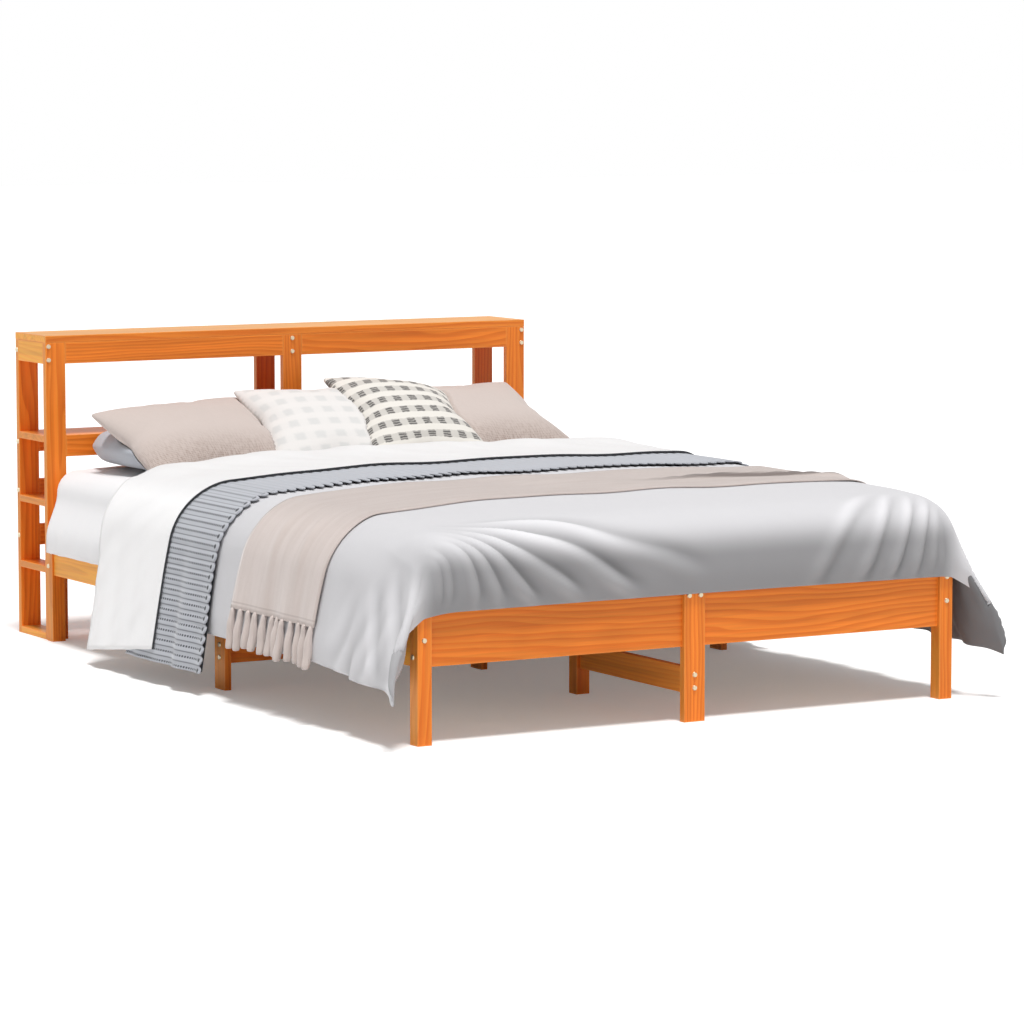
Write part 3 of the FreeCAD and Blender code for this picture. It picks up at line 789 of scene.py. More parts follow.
@dataclass(frozen=True)
class StreakedFinish(ClothFinish):
    """Wool with soft streaks along its length, a seam above each hem and painted shade along a crease on
    its right.
    """

    seam_at: float = 0.992
    crease_shade_slope: float = 0.176
    crease_shade_y: float = -0.494
    streaked: Colour = (0.42, 0.33, 0.28, 1)
    seam: Colour = (0.3, 0.23, 0.2, 1)
    crease: Colour = (0.11, 0.08, 0.07, 1)

    def pattern(self, tree: Tree, uv: Socket, colour: Socket) -> Socket:
        """Adds the streaks, the seams and the painted shade of the crease.

        Args:
            tree: The material's tree.
            uv: Where on the cloth's flat cut it is read, in metres.
            colour: The plain cloth's colour.

        Returns:
            The colour with what was added.
        """
        streak = tree.steps(tree.noise(tree.stretch(uv, (3.0, 34.0, 1.0)), 1.0, 3.0, 0.55), 0.35, 0.7)
        near = tree.apart(tree.math("ABSOLUTE", tree.split(uv)[0]), self.seam_at)
        seam = tree.steps(near, 0.0012, 0.003, 1.0, 0.0)
        # Painted shade: a dark band along the crease on the throw's right
        place = tree.split(tree.here())
        slanted = tree.math("MULTIPLY_ADD", place[0], self.crease_shade_slope, -self.crease_shade_y)
        past = tree.math("ADD", slanted, place[1])
        crease = tree.steps(tree.math("ABSOLUTE", past), 0.004, 0.017, 1.0, 0.0)
        crease = tree.times(crease, tree.steps(place[0], 0.12, 0.4, 0.0, 0.85))
        colour = tree.blend(tree.times(streak, 0.22), colour, self.streaked)
        colour = tree.blend(tree.times(seam, 0.35), colour, self.seam)
        return tree.blend(crease, colour, self.crease)


@dataclass(frozen=True)
class LinenFinish(ClothFinish):
    """Linen with darker woven rows on its lower side."""

    rows: Colour = (0.24, 0.15, 0.11, 1)
    row: float = 0.007

    def pattern(self, tree: Tree, uv: Socket, colour: Socket) -> Socket:
        """Adds the rows.

        Args:
            tree: The material's tree.
            uv: Where on the cloth's flat cut it is read, in metres.
            colour: The plain cloth's colour.

        Returns:
            The colour with what was added.
        """
        along = tree.split(uv)[1]
        low = tree.steps(along, -0.17, -0.02, 1.0, 0.0)
        rows = tree.steps(tree.wave(along, self.row), -0.6, 0.9)
        speck = tree.noise(tree.stretch(uv, (260.0, 40.0, 1.0)), 1.0, 2.0, 0.6)
        patchy = tree.steps(speck, 0.4, 0.65, 0.35, 1.0)
        share = tree.times(low, tree.math("MULTIPLY_ADD", rows, 0.35, 0.4), patchy)
        return tree.blend(share, colour, self.rows)


@dataclass(frozen=True)
class CheckFinish(ClothFinish):
    """Linen with rows of soft square blocks and a stitched left edge."""

    ink: Colour = (0.05, 0.05, 0.05, 1)
    depth: float = 0.9
    pitch: tuple[float, float] = (0.046, 0.064)
    hatch: float = 0.7
    soft: float = 0.05
    band: float = 0.16
    edge: float = 0.186
    half_block: float = 0.26
    wobble: float = 0.009
    line: float = 0.0092
    stitch: float = 0.018

    def pattern(self, tree: Tree, uv: Socket, colour: Socket) -> Socket:
        """Adds the blocks and the stitches, set a little unevenly.

        Args:
            tree: The material's tree.
            uv: Where on the cloth's flat cut it is read, in metres.
            colour: The plain cloth's colour.

        Returns:
            The colour with what was added.
        """
        uneven = tree.add("ShaderNodeTexNoise", {"Vector": uv, "Scale": 90.0, "Detail": 2.0})
        centred = tree.vector("SUBTRACT", uneven.outputs["Color"], (0.5, 0.5, 0.5))
        shift = tree.vector("MULTIPLY", centred, (self.wobble, self.wobble, 0.0))
        place = tree.split(tree.vector("ADD", uv, shift))
        masks = []
        for axis, pitch in enumerate(self.pitch):
            turn = tree.math("FRACT", tree.math("MULTIPLY_ADD", place[axis], 1 / pitch, 20.3))
            off = tree.apart(turn, 0.5)
            low, high = self.half_block - self.soft, self.half_block + self.soft
            masks.append(tree.steps(off, low, high, 1.0, 0.0))
        lines = tree.steps(tree.wave(place[1], self.line), -0.7, 0.5)
        hatched = tree.times(*masks, tree.math("MULTIPLY_ADD", lines, self.hatch, 1.0 - self.hatch))
        band = tree.times(masks[1], self.band)
        side = tree.steps(place[0], -self.edge - 0.004, -self.edge + 0.004, 1.0, 0.0)
        stitch = tree.times(side, tree.steps(tree.wave(place[1], self.stitch), -0.2, 0.3), 0.8)
        share = tree.math("MAXIMUM", tree.math("MAXIMUM", hatched, band), stitch)
        return tree.blend(tree.times(share, self.depth), colour, self.ink)


@dataclass(frozen=True)
class KnitFinish(ClothFinish):
    """Knitted rows side by side, with a dotted line down each and a dark eye at its foot end."""

    row: float = KNIT_ROW
    length: float = 0.46
    eye_from_foot: float = 0.0185
    dot: float = 0.0095
    ink: Colour = (0.02, 0.023, 0.03, 1)

    def pattern(self, tree: Tree, uv: Socket, colour: Socket) -> Socket:
        """Adds the lines and eyes, which show where the knit hangs and fade on top of the bed.

        Args:
            tree: The material's tree.
            uv: Where on the cloth's flat cut it is read, in metres.
            colour: The plain cloth's colour.

        Returns:
            The colour with what was added.
        """
        place = tree.split(uv)
        turn = tree.math("FRACT", tree.math("MULTIPLY_ADD", place[0], 1 / self.row, 60.5))
        off = tree.times(tree.apart(turn, 0.5), self.row)
        from_foot = tree.math("ADD", place[1], self.length / 2)
        dots = tree.steps(tree.wave(place[1], self.dot), -0.5, 0.4, 0.2, 1.0)
        narrow = tree.steps(off, 0.0016, 0.0038, 1.0, 0.0)
        line = tree.times(narrow, dots, tree.steps(from_foot, 0.016, 0.024))
        seam = tree.times(tree.steps(off, self.row / 2 - 0.0028, self.row / 2 - 0.0005), 0.6)
        eye_off = tree.math("SUBTRACT", from_foot, self.eye_from_foot)
        squares = (tree.math("POWER", side, 2.0) for side in (off, eye_off))
        eye_far = tree.math("SQRT", tree.math("ADD", *squares))
        eye = tree.steps(eye_far, 0.0046, 0.0066, 1.0, 0.0)
        hangs = tree.steps(tree.math("ABSOLUTE", place[0]), 0.60, 0.78, 0.10, 1.0)
        marks = tree.math("MAXIMUM", tree.math("MAXIMUM", line, seam), eye)
        return tree.blend(tree.times(marks, hangs), colour, self.ink)


WAXED_PINE = TimberFinish(
    "waxed_pine", (0.92, 0.25, 0.024, 1), (0.72, 0.13, 0.006, 1), (0.2, 0.035, 0.004, 1)
)
# A lit copy of the waxed pine, with strong painted light on the left and top faces of the boards that the
# light falls on
PAINTED_LIT_PINE = TimberFinish(
    "painted_lit_pine", (0.88, 0.25, 0.026, 1), (0.72, 0.14, 0.008, 1), (0.3, 0.07, 0.01, 1),
    painted_left_light=(1.0, 0.46, 0.055, 1), painted_top_light=(0.66, 0.31, 0.055, 1), painted_left_light_share=0.95, painted_top_light_share=0.95,
)
SHADED_PINE = TimberFinish(
    "shaded_pine", (0.60, 0.14, 0.013, 1), (0.44, 0.075, 0.004, 1), (0.15, 0.03, 0.003, 1)
)
PLAIN_PINE = TimberFinish(
    "plain_pine", (0.78, 0.53, 0.28, 1), (0.56, 0.3, 0.11, 1), (0.2, 0.08, 0.03, 1),
    roughness=0.6, wax=0.0, painted_left_light=(0.78, 0.53, 0.28, 1), painted_top_light=(0.78, 0.53, 0.28, 1),
)
BEECH = TimberFinish(
    "beech", (0.66, 0.42, 0.24, 1), (0.5, 0.28, 0.14, 1), (0.3, 0.15, 0.07, 1),
    ring_pitch=0.0024, wander=0.01, ring_share=0.5, roughness=0.55, wax=0.0, knots=0.0,
    painted_left_light=(0.66, 0.42, 0.24, 1), painted_top_light=(0.66, 0.42, 0.24, 1),
)
ZINC = MetalFinish("zinc_steel", (0.80, 0.70, 0.50, 1), 0.35)
WHITE_COTTON = ClothFinish("white_cotton", (0.93, 0.925, 0.93, 1), (0.83, 0.82, 0.84, 1))
DUVET_COTTON = DuvetFinish("pale_blue_cotton", (0.79, 0.78, 0.80, 1), (0.72, 0.71, 0.73, 1), sheen=0.1)
WHITE_COVERLET = ClothFinish(
    "white_coverlet", (0.965, 0.955, 0.955, 1), (0.89, 0.88, 0.88, 1), 700.0, painted_top_shade=0.86
)
MATTRESS_TICKING = ClothFinish("mattress_ticking", (0.8, 0.79, 0.76, 1), (0.7, 0.69, 0.66, 1), 900.0)
BEIGE_WOOL = StreakedFinish(
    "beige_wool", (0.68, 0.595, 0.56, 1), (0.58, 0.49, 0.45, 1), 500.0, 0.6, 0.6, 0.4, painted_top_shade=0.9
)
TAUPE_LINEN = LinenFinish("taupe_linen", (0.61, 0.525, 0.485, 1), (0.52, 0.435, 0.395, 1), 420.0, 0.7, 0.5)
SLATE_LINEN = ClothFinish("slate_blue_linen", (0.47, 0.49, 0.53, 1), (0.38, 0.40, 0.44, 1), 500.0, 0.6)
PALE_CHECK = CheckFinish(
    "pale_check", (0.80, 0.775, 0.755, 1), (0.73, 0.705, 0.685, 1), 420.0, 0.6,
    ink=(0.62, 0.62, 0.61, 1), depth=0.68, pitch=(0.056, 0.056), hatch=0.0, soft=0.12, edge=0.184,
)
DARK_CHECK = CheckFinish(
    "dark_check", (0.81, 0.775, 0.72, 1), (0.72, 0.685, 0.63, 1), 420.0, 0.6,
    ink=(0.035, 0.032, 0.032, 1), depth=0.92, pitch=(0.043, 0.054), hatch=0.4, band=0.26, edge=0.164,
)
# Near-black cloth, for the coverlet's piping and for the strip of painted shade behind the knit's loops
DARK_PIPING_AND_SHADE = ClothFinish("dark_piping_and_shade", (0.02, 0.022, 0.028, 1), (0.035, 0.036, 0.042, 1), 900.0, 0.2)
GREY_BLUE_KNIT = KnitFinish("grey_blue_knit", (0.50, 0.515, 0.555, 1), (0.43, 0.445, 0.485, 1), 240.0, 0.4)


# The frame's own pieces


@dataclass
class Carcass:
    """The timber and metal of the bed, which keep their solids and get their finishes."""

    plain: tuple[str, ...] = ("slats", "slat_ledgers")
    # Boards that get the lit copy of the pine, with its painted light
    painted_lit: tuple[str, ...] = ("top_board", "side_apron_left", "floor_board_left", "side_rail_left")
    shaded: tuple[str, ...] = ("rear_post_centre", "rear_post_right")
    metal: tuple[str, ...] = ("bolts", "barrel_nuts", "screws")
    pegs: tuple[str, ...] = ("dowels",)
    along_x: tuple[str, ...] = ("slats", "top_board", "middle_shelf")
    along_y: tuple[str, ...] = (
        "rungs_left", "rungs_right", "slat_ledgers", "floor_board_left", "floor_board_right",
    )

    def grain_of(self, node: str) -> Grain:
        """Tells which way a board's grain runs.

        Args:
            node: The CAD node's name.

        Returns:
            Its longest axis, unless it is a set of boards or a short one that runs the other way.
        """
        if node in self.along_x:
            return Grain.X
        if node in self.along_y:
            return Grain.Y
        low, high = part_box(node)
        size = high - low
        return Grain(max(range(3), key=lambda axis: size[axis]))

    def wood_of(self, node: str) -> TimberFinish:
        """Tells which timber finish a node has.

        Args:
            node: The CAD node's name.

        Returns:
            The finish.
        """
        if node in self.plain:
            return PLAIN_PINE
        if node in self.painted_lit:
            return PAINTED_LIT_PINE
        return SHADED_PINE if node in self.shaded else WAXED_PINE

    def dress(self, effects: Effects, soft: set[str]) -> None:
        """Gives every rigid node its finish.

        Args:
            effects: The shared node groups.
            soft: The nodes that cloth pieces replace.
        """
        metal = ZINC.material(effects)
        for name, node in frame["nodes"].items():
            if name in soft:
                continue
            if name in self.metal:
                finish = metal
            elif name in self.pegs:
                finish = BEECH.material(effects, name, Grain.X)
            else:
                finish = self.wood_of(name).material(effects, name, self.grain_of(name))
            node.data.materials.clear()
            node.data.materials.append(finish)
            log.info("%s: %s", name, finish.name)


# Cloth


@dataclass(frozen=True)
class Settling:
    """How a sewn case fills out under pressure."""

    frames: int = 18
    quality: int = 4
    mass: float = 0.25
    tension: float = 12.0
    bending: float = 0.6
    gap: float = 0.004
    pressure: float = 5.0

    def run(self, cloth: Piece) -> None:
        """Simulates the case and keeps its last shape.

        Args:
            cloth: The flat case.
        """
        take(cloth)
        modifier = cloth.modifiers.new("cloth", "CLOTH")
        values = modifier.settings
        values.quality = self.quality
        values.mass = self.mass
        values.tension_stiffness = values.compression_stiffness = self.tension
        values.shear_stiffness = self.tension / 3
        values.bending_stiffness = self.bending
        values.air_damping = 2.0
        values.effector_weights.gravity = 0.0
        values.use_pressure = True
        values.uniform_pressure_force = self.pressure
        modifier.collision_settings.distance_min = self.gap
        modifier.collision_settings.collision_quality = 3
        modifier.point_cache.frame_start = 1
        modifier.point_cache.frame_end = self.frames
        bpy.context.scene.frame_start = 1
        bpy.context.scene.frame_end = self.frames
        for number in range(1, self.frames + 1):
            bpy.context.scene.frame_set(number)
        take(cloth)
        bpy.ops.object.modifier_apply(modifier=modifier.name)
        bpy.context.scene.frame_set(1)


@dataclass(frozen=True)
class Fold:
    """A long soft ridge across a cloth, from one place on its flat cut to another."""

    start: tuple[float, float]
    end: tuple[float, float]
    height: float
    width: float
    sway: float = 0.006
    valley: float = 0.9

    def lift(self, u: Array, v: Array) -> Array:
        """How far the ridge, and the valley on one side of it, lift each place.

        Args:
            u: The places' first flat coordinate.
            v: The places' second flat coordinate.

        Returns:
            The lift, which fades out at both ends.
        """
        along = (self.end[0] - self.start[0], self.end[1] - self.start[1])
        length = math.hypot(*along)
        one = (along[0] / length, along[1] / length)
        reach = (u - self.start[0]) * one[0] + (v - self.start[1]) * one[1]
        off = -(u - self.start[0]) * one[1] + (v - self.start[1]) * one[0]
        off = off + self.sway * np.sin(reach * 17.0 + self.start[0] * 40.0)
        wide = self.width * (0.85 + 0.35 * np.clip(reach / length, 0, 1))
        ridge = np.exp(-((off / wide) ** 2))
        valley = np.exp(-(((off - 1.8 * wide) / (1.1 * wide)) ** 2))
        fade = ease(reach, 0.0, 0.4 * length) * (1 - ease(reach, 0.82 * length, length + 0.02))
        return self.height * fade * (ridge - self.valley * valley)


def both_sides(*right: Fold) -> list[Fold]:
    """Gives the same folds on the left and on the right."""
    left = [Fold((-f.start[0], f.start[1]), (-f.end[0], f.end[1]), f.height, f.width) for f in right]
    return left + list(right)


def slump(x: Array) -> Array:
    """How far the bed's top has sunk towards its left edge."""
    return SLUMP * ease(-x, 0.3, 0.72)


@dataclass(frozen=True)
class Hill:
    """The shape of the made bed across its width, which each cloth follows at its own height."""

    lift: float = 0.0
    half_width: float = 0.765
    top: float = 0.497
    shoulder: float = 0.15
    right_shoulder: float = 0.08
    crown: float = 0.008

    def across(self, u: Array, top: Array | float | None = None) -> tuple[Array, Array]:
        """Lays a line of cloth over the bed.

        Args:
            u: How far along the cloth each place is from the bed's middle line.
            top: The height of the bed's top there, where it isn't the usual one.

        Returns:
            The places' X and Z.
        """
        away = np.abs(u)
        radius = np.where(np.asarray(u) > 0, self.right_shoulder, self.shoulder) + self.lift
        level = (self.top if top is None else top) + self.lift
        full = math.pi / 2 - math.atan(SIDE_FLARE)
        edge_z = self.top + self.lift - radius + radius * math.cos(full)
        edge_x = self.half_width + self.lift + SIDE_FLARE * (SHOULDER_HEIGHT - edge_z)
        turn_x = edge_x - radius * math.sin(full)
        turn = np.clip((away - turn_x) / radius, 0.0, full)
        rest = np.maximum(away - turn_x - radius * full, 0.0)
        x = np.minimum(away, turn_x) + radius * np.sin(turn) + rest * math.cos(full)
        z = level - radius * (1 - np.cos(turn)) - rest * math.sin(full)
        z = z + self.crown * (1 - np.minimum(x / 0.7, 1.0) ** 2)
        x = np.sign(u) * x
        return x, z - slump(x) * ease(level, 0.40, 0.48)

    def reach(self, hem: float, side: int = 1) -> float:
        """How much cloth it takes from the middle line down to a hem at that height on one side.

        Args:
            hem: The hem's height.
            side: 1 for the right side and -1 for the left.

        Returns:
            The length of cloth.
        """
        u = np.linspace(0.001, 1.5, 3000)
        z = self.across(side * u)[1]
        return float(u[np.argmax(z <= hem)])

    def eased(self, u: Array, hem: float) -> Array:
        """Draws the left side in a little, so that both hems hang at one height."""
        return u * np.where(np.asarray(u) < 0, self.reach(hem, -1) / self.reach(hem), 1.0)


def side_folds(u: Array, y: Array) -> Array:
    """The dents on top and the long folds at the sides, which every cloth shares with the one under it.

    Args:
        u: Places across the bed, along the cloth.
        y: Places along the bed.

    Returns:
        How far each place stands out.
    """
    down = ease(np.abs(u), 0.74, 1.12)
    wave = ripple(y + np.where(u > 0, 3.1, 0.0), 21, 0.12, 0.42, 5)
    top = (1.0 - ease(np.abs(u), 0.6, 0.75)) * ease(y, -0.95, -0.8)
    dent = ripple(u * 1.1 + y * 0.5, 31, 0.3, 0.9, 4)
    return SIDE_FOLD * down * wave + TOP_DENT * top * dent


def face_out(points: Array, shape: tuple[int, int]) -> Array:
    """The outward direction at each point of a grid of points.

    Args:
        points: The grid's points, row by row.
        shape: How many rows and columns it has.

    Returns:
        A direction for each point, pointing up or away from the bed's middle.
    """
    grid = points.reshape(*shape, 3)
    across = np.gradient(grid, axis=1)
    along = np.gradient(grid, axis=0)
    out = np.cross(across, along).reshape(-1, 3)
    out /= np.maximum(np.linalg.norm(out, axis=1), 1e-12)[:, None]
    return out


def grid_shape(flat: Array) -> tuple[int, int]:
    """Counts the rows and columns of a grid primitive from its flat points."""
    columns = int(np.argmax(flat[:, 1] > flat[0, 1] + 1e-6))
    return len(flat) // columns, columns


@dataclass
class Layer:
    """A cloth that lies across the bed and hangs at both sides."""

    name: str
    foot: float
    head: float
    hem: float
    lift: float
    thick: float
    pitch: float = 0.014
    foot_hem: float | None = None
    fine: float | None = None
    drift: float = 0.0

    def shape(self, flat: Array) -> Array:
        """Lays the flat cut over the bed.

        Args:
            flat: The cut's points, across the bed and along it.

        Returns:
            The points in place.
        """
        y = flat[:, 1] + (self.foot + self.head) / 2
        hill = Hill(self.lift)
        u = hill.eased(flat[:, 0], self.hem)
        to_foot = (self.head - y) / (self.head - self.foot)
        if self.foot_hem is not None:
            short = hill.reach(self.foot_hem) / hill.reach(self.hem)
            u = u * (1.0 - (1.0 - short) * to_foot)
        x, z = hill.across(u)
        points = np.stack([x, y + self.drift * to_foot * ease(np.abs(u), 0.66, 0.95), z], axis=1)
        return points + face_out(points, grid_shape(flat)) * self.relief(u, y)[:, None]

    def relief(self, u: Array, y: Array) -> Array:
        """How far each place stands out from the plain shape."""
        return side_folds(u, y)

    def build(self) -> Piece:
        """Cuts the cloth, lays it and gives it its thickness.

        Returns:
            The piece.
        """
        width = 2 * Hill(self.lift).reach(self.hem)
        length = self.head - self.foot
        cloth = cut_cloth(self.name, width, length, self.fine or self.pitch, self.pitch)
        set_points(cloth, self.shape(points_of(cloth)))
        finish_modifier(cloth, "SOLIDIFY", thickness=self.thick, offset=0.0)
        smooth(cloth)
        cloth["flat"] = (width, length)
        return cloth


def evened(values: Array, shape: tuple[int, int]) -> Array:
    """Evens values over a grid's neighbours, so that a slanting fold isn't stepped by the cells.

    Args:
        values: One value for each of the grid's points.
        shape: The grid's rows and columns.

    Returns:
        The evened values, in the same order.
    """
    grid = values.reshape(shape)
    for _ in range(2):
        grid = np.pad(grid, 1, mode="edge")
        grid = (grid[:-2] + 2 * grid[1:-1] + grid[2:]) / 4
        grid = (grid[:, :-2] + 2 * grid[:, 1:-1] + grid[:, 2:]) / 4
    return grid.reshape(-1)


@dataclass
class Duvet:
    """The duvet, whose foot end falls to the rail and whose corners hang past the legs."""

    half_cut: float = 1.09
    short_hem: float = 0.15
    head_y: float = 0.485
    across: float = 0.0072
    rows: int = 162
    thick: float = 0.015
    gathered_to: float = 0.87
    corner_at: float = 0.732
    corner_fall: float = 0.2
    drawn_over: float = 0.34
    mixed_over: tuple[float, float] = (0.1, 0.42)
    short_over: tuple[float, float] = (0.28, 0.52)
    covered_over: tuple[float, float] = (0.32, 0.42)
    covered_pull: float = 0.0035
    tip: tuple[float, float, float] = (0.842, -1.155, 0.108)
    tip_bend: float = 1.2
    wing_sag: tuple[float, float, float] = (0.030, -0.010, 0.02)
    hem_level: float = 0.499
    foot_crown: float = 0.3
    wrinkle: float = 0.006
    # Painted shade and highlight: the tone where there is no fold, how strongly folds darken in their
    # valleys and lighten on their ridges, and the painted shade of each drop's inner side
    even_tone: float = 0.86
    fold_gain: float = 28.0
    painted_fold_shade_and_highlight: tuple[float, float] = (-0.38, 0.3)
    painted_inner_shade: tuple[float, float] = (0.55, 0.24)
    hill: Hill = Hill(-0.008)
    folds: tuple[Fold, ...] = (
        Fold((-0.70, 0.21), (-0.64, 0.0), 0.009, 0.011),
        Fold((-0.70, 0.235), (-0.55, 0.0), 0.010, 0.011),
        Fold((-0.70, 0.255), (-0.44, -0.01), 0.012, 0.011),
        Fold((-0.69, 0.265), (-0.31, -0.01), 0.013, 0.011),
        Fold((-0.67, 0.275), (-0.14, 0.0), 0.014, 0.012),
        Fold((-0.62, 0.285), (0.03, 0.03), 0.009, 0.014),
        Fold((0.58, 0.29), (0.30, 0.0), 0.007, 0.016),
        Fold((0.64, 0.28), (0.46, 0.0), 0.009, 0.014),
        Fold((0.68, 0.26), (0.58, 0.0), 0.010, 0.012),
        Fold((0.71, 0.24), (0.68, 0.0), 0.009, 0.012),
        *both_sides(
            Fold((0.73, 0.20), (0.76, 0.02), 0.007, 0.010),
            Fold((0.75, 0.16), (0.80, 0.03), 0.006, 0.010),
        ),
        *both_sides(
            Fold((0.80, 0.31), (1.06, 0.24), 0.006, 0.016),
            Fold((0.78, 0.24), (1.04, 0.15), 0.006, 0.014),
            Fold((0.77, 0.17), (1.00, 0.06), 0.005, 0.012),
        ),
    )

    def fall(self) -> tuple[Array, Array, Array]:
        """The line down the bed's middle, from the rail's top to the head edge.

        Returns:
            How far along it each point is, and the points' Y and Z.
        """
        to_head = self.head_y - FOOT_FACE
        y = np.array([-0.006, -0.010, -0.006, 0.008, 0.036, 0.085, 0.19, 0.32, to_head]) + FOOT_FACE
        z = np.array([0.299, 0.345, 0.400, 0.440, 0.467, 0.481, 0.487, 0.489, 0.489])
        along = np.concatenate([[0], np.cumsum(np.hypot(np.diff(y), np.diff(z)))])
        fine = np.linspace(0, along[-1], 400)
        fine_y, fine_z = (np.interp(fine, along, line) for line in (y, z))
        kernel = np.ones(13) / 13
        fine_y[6:-6] = np.convolve(fine_y, kernel, "valid")
        fine_z[6:-6] = np.convolve(fine_z, kernel, "valid")
        return fine, fine_y, fine_z

    def shape(self, flat: Array) -> Array:
        """Lays the flat cut over the bed, its foot end down to the rail and its corners outside the legs.

        Args:
            flat: The cut's points.

        Returns:
            The points in place.
        """
        along, fall_y, fall_z = self.fall()
        t = flat[:, 1] - flat[:, 1].min()
        u = self.drawn_in(flat[:, 0], t)
        side = np.sign(u)
        away = np.abs(u)
        half = np.abs(self.drawn_in(side * self.half_cut, np.zeros_like(t)))
        mid_y = np.interp(t, along, fall_y)
        mid_z = np.interp(t, along, fall_z)
        hill, level = self.hill, mid_z - self.hill.lift
        side_x, side_z = hill.across(u, level)
        near = 1.0 - ease(t, 0.0, self.drawn_over)
        edge = self.corner_at + (self.gathered_to - self.corner_at) * near
        within = np.clip(away / edge, 0.0, 1.0)
        drawn = away - (edge - self.corner_at) * within**3
        top_x, top_z = hill.across(side * np.minimum(drawn, self.corner_at), level)
        share = np.clip((away - edge) / (half - edge), 0.0, 1.0)
        corner = 1.0 - ease(t, 0.0, self.corner_fall)
        rim_x, rim_z = hill.across(side * self.corner_at, level)
        hem_x, hem_z = hill.across(side * half, np.full_like(away, self.hem_level))
        side_x, top_x, rim_x, hem_x = (np.abs(x) for x in (side_x, top_x, rim_x, hem_x))
        sunk = self.foot_crown + (1.0 - self.foot_crown) * ease(mid_z, 0.32, 0.46)
        top_z = mid_z + (top_z - mid_z) * sunk
        rim_z = mid_z + (rim_z - mid_z) * sunk
        tip_x, tip_y, tip_z = self.tip
        end_x = hem_x + (tip_x - hem_x) * corner
        end_z = hem_z + (tip_z - hem_z) * corner
        end_y = mid_y + (tip_y - mid_y) * corner
        sag_x, sag_y, sag_z = (size * np.sin(math.pi * share) * corner for size in self.wing_sag)
        wing_x = rim_x + (end_x - rim_x) * share + sag_x
        wing_y = mid_y + (end_y - mid_y) * share**self.tip_bend + sag_y
        wing_z = rim_z + (end_z - rim_z) * share + sag_z
        mixed = ease(t, *self.mixed_over)
        hang_x = wing_x * (1 - mixed) + side_x * mixed
        hang_y = wing_y * (1 - mixed) + mid_y * mixed
        hang_z = wing_z * (1 - mixed) + side_z * mixed
        out = away > edge
        x = np.where(out, hang_x, top_x * (1 - mixed) + side_x * mixed)
        y = np.where(out, hang_y, mid_y)
        z = np.where(out, hang_z, top_z * (1 - mixed) + side_z * mixed)
        return np.stack([np.sign(u) * x, y, z], axis=1)

    def drawn_in(self, u: Array, t: Array) -> Array:
        """Where each place of the flat cut lies across the bed, with the hem short beyond the foot part.

        Args:
            u: Places across the flat cut.
            t: How far each place is from the foot edge, along the cut.

        Returns:
            The places across the bed, along the cloth.
        """
        shorter = 1.0 - self.hill.reach(self.short_hem) / self.half_cut
        share = 1.0 - shorter * ease(t, *self.short_over)
        return self.hill.eased(u, self.short_hem) * share

    def relief(self, u: Array, t: Array) -> Array:
        """The duvet's folds: long ones at the sides, fans at the corners, and soft dents on top.

        Args:
            u: Places across the flat cut.
            t: Places along it, from its foot edge.

        Returns:
            How far each place stands out.
        """
        along, fall_y, _ = self.fall()
        y = np.interp(t, along, fall_y)
        bare = 1.0 - ease(y, -0.82, -0.74)
        hang = ease(np.abs(u), 0.8, 1.05) * bare * ease(t, 0.0, 0.08)
        own = self.wrinkle * hang * ripple(y * 1.3 + u * 0.8, 8, 0.09, 0.2, 4)
        for fold in self.folds:
            own = own + fold.lift(u, t) * bare
        return side_folds(u, y) + own

    def laid(self, flat: Array, t: Array) -> Array:
        """Lays the flat cut and gives it the listed folds.

        Args:
            flat: The cut's points, across the bed and along it.
            t: How far each place is from the foot edge, along the cut.

        Returns:
            The points in place.
        """
        points = self.shape(flat)
        inside = np.abs(flat[:, 0]) < 0.85
        strength = np.where(inside, ease(t, 0.0, 0.04), 1.0)
        u = self.drawn_in(flat[:, 0], t)
        covered = ease(t, *self.covered_over)
        lift = self.relief(u, t) * strength
        lift = evened(lift, grid_shape(flat)) * (1.0 - covered) + lift * covered
        lift = lift - self.covered_pull * covered * ease(np.abs(u), 0.75, 0.9)
        return points + face_out(points, grid_shape(flat)) * lift[:, None]

    def build(self) -> Piece:
        """Cuts the duvet with close rows at its foot, lays it over the bed and gives it its thickness.

        Returns:
            The piece.
        """
        length = float(self.fall()[0][-1])
        duvet = cut_cloth("duvet_cover", 2 * self.half_cut, length, self.across, length / self.rows)
        flat = points_of(duvet)
        t = np.interp(flat[:, 1] / length + 0.5, (0.0, 0.42, 1.0), (0.0, 0.44, length))
        flat[:, 1] = t - length / 2
        lay_uv(duvet, flat)
        set_points(duvet, self.laid(flat, t))
        u = self.drawn_in(flat[:, 0], t)
        shared = side_folds(u, np.interp(t, *self.fall()[:2]))
        creased = evened(self.relief(u, t) - shared, grid_shape(flat))
        finish_modifier(duvet, "SMOOTH", factor=0.5, iterations=1)
        rim = np.minimum(np.minimum(t, length - t), self.half_cut - np.abs(flat[:, 0]))
        full = duvet.vertex_groups.new(name="full")
        for index, share in enumerate(ease(rim, -0.02, 0.06)):
            full.add([index], float(share), "REPLACE")
        thick = {"thickness": self.thick, "vertex_group": "full", "thickness_vertex_group": 0.15}
        finish_modifier(duvet, "SOLIDIFY", offset=0.0, **thick)
        smooth(duvet)
        self.mark_shade(duvet, np.tile(creased, 2))
        return duvet

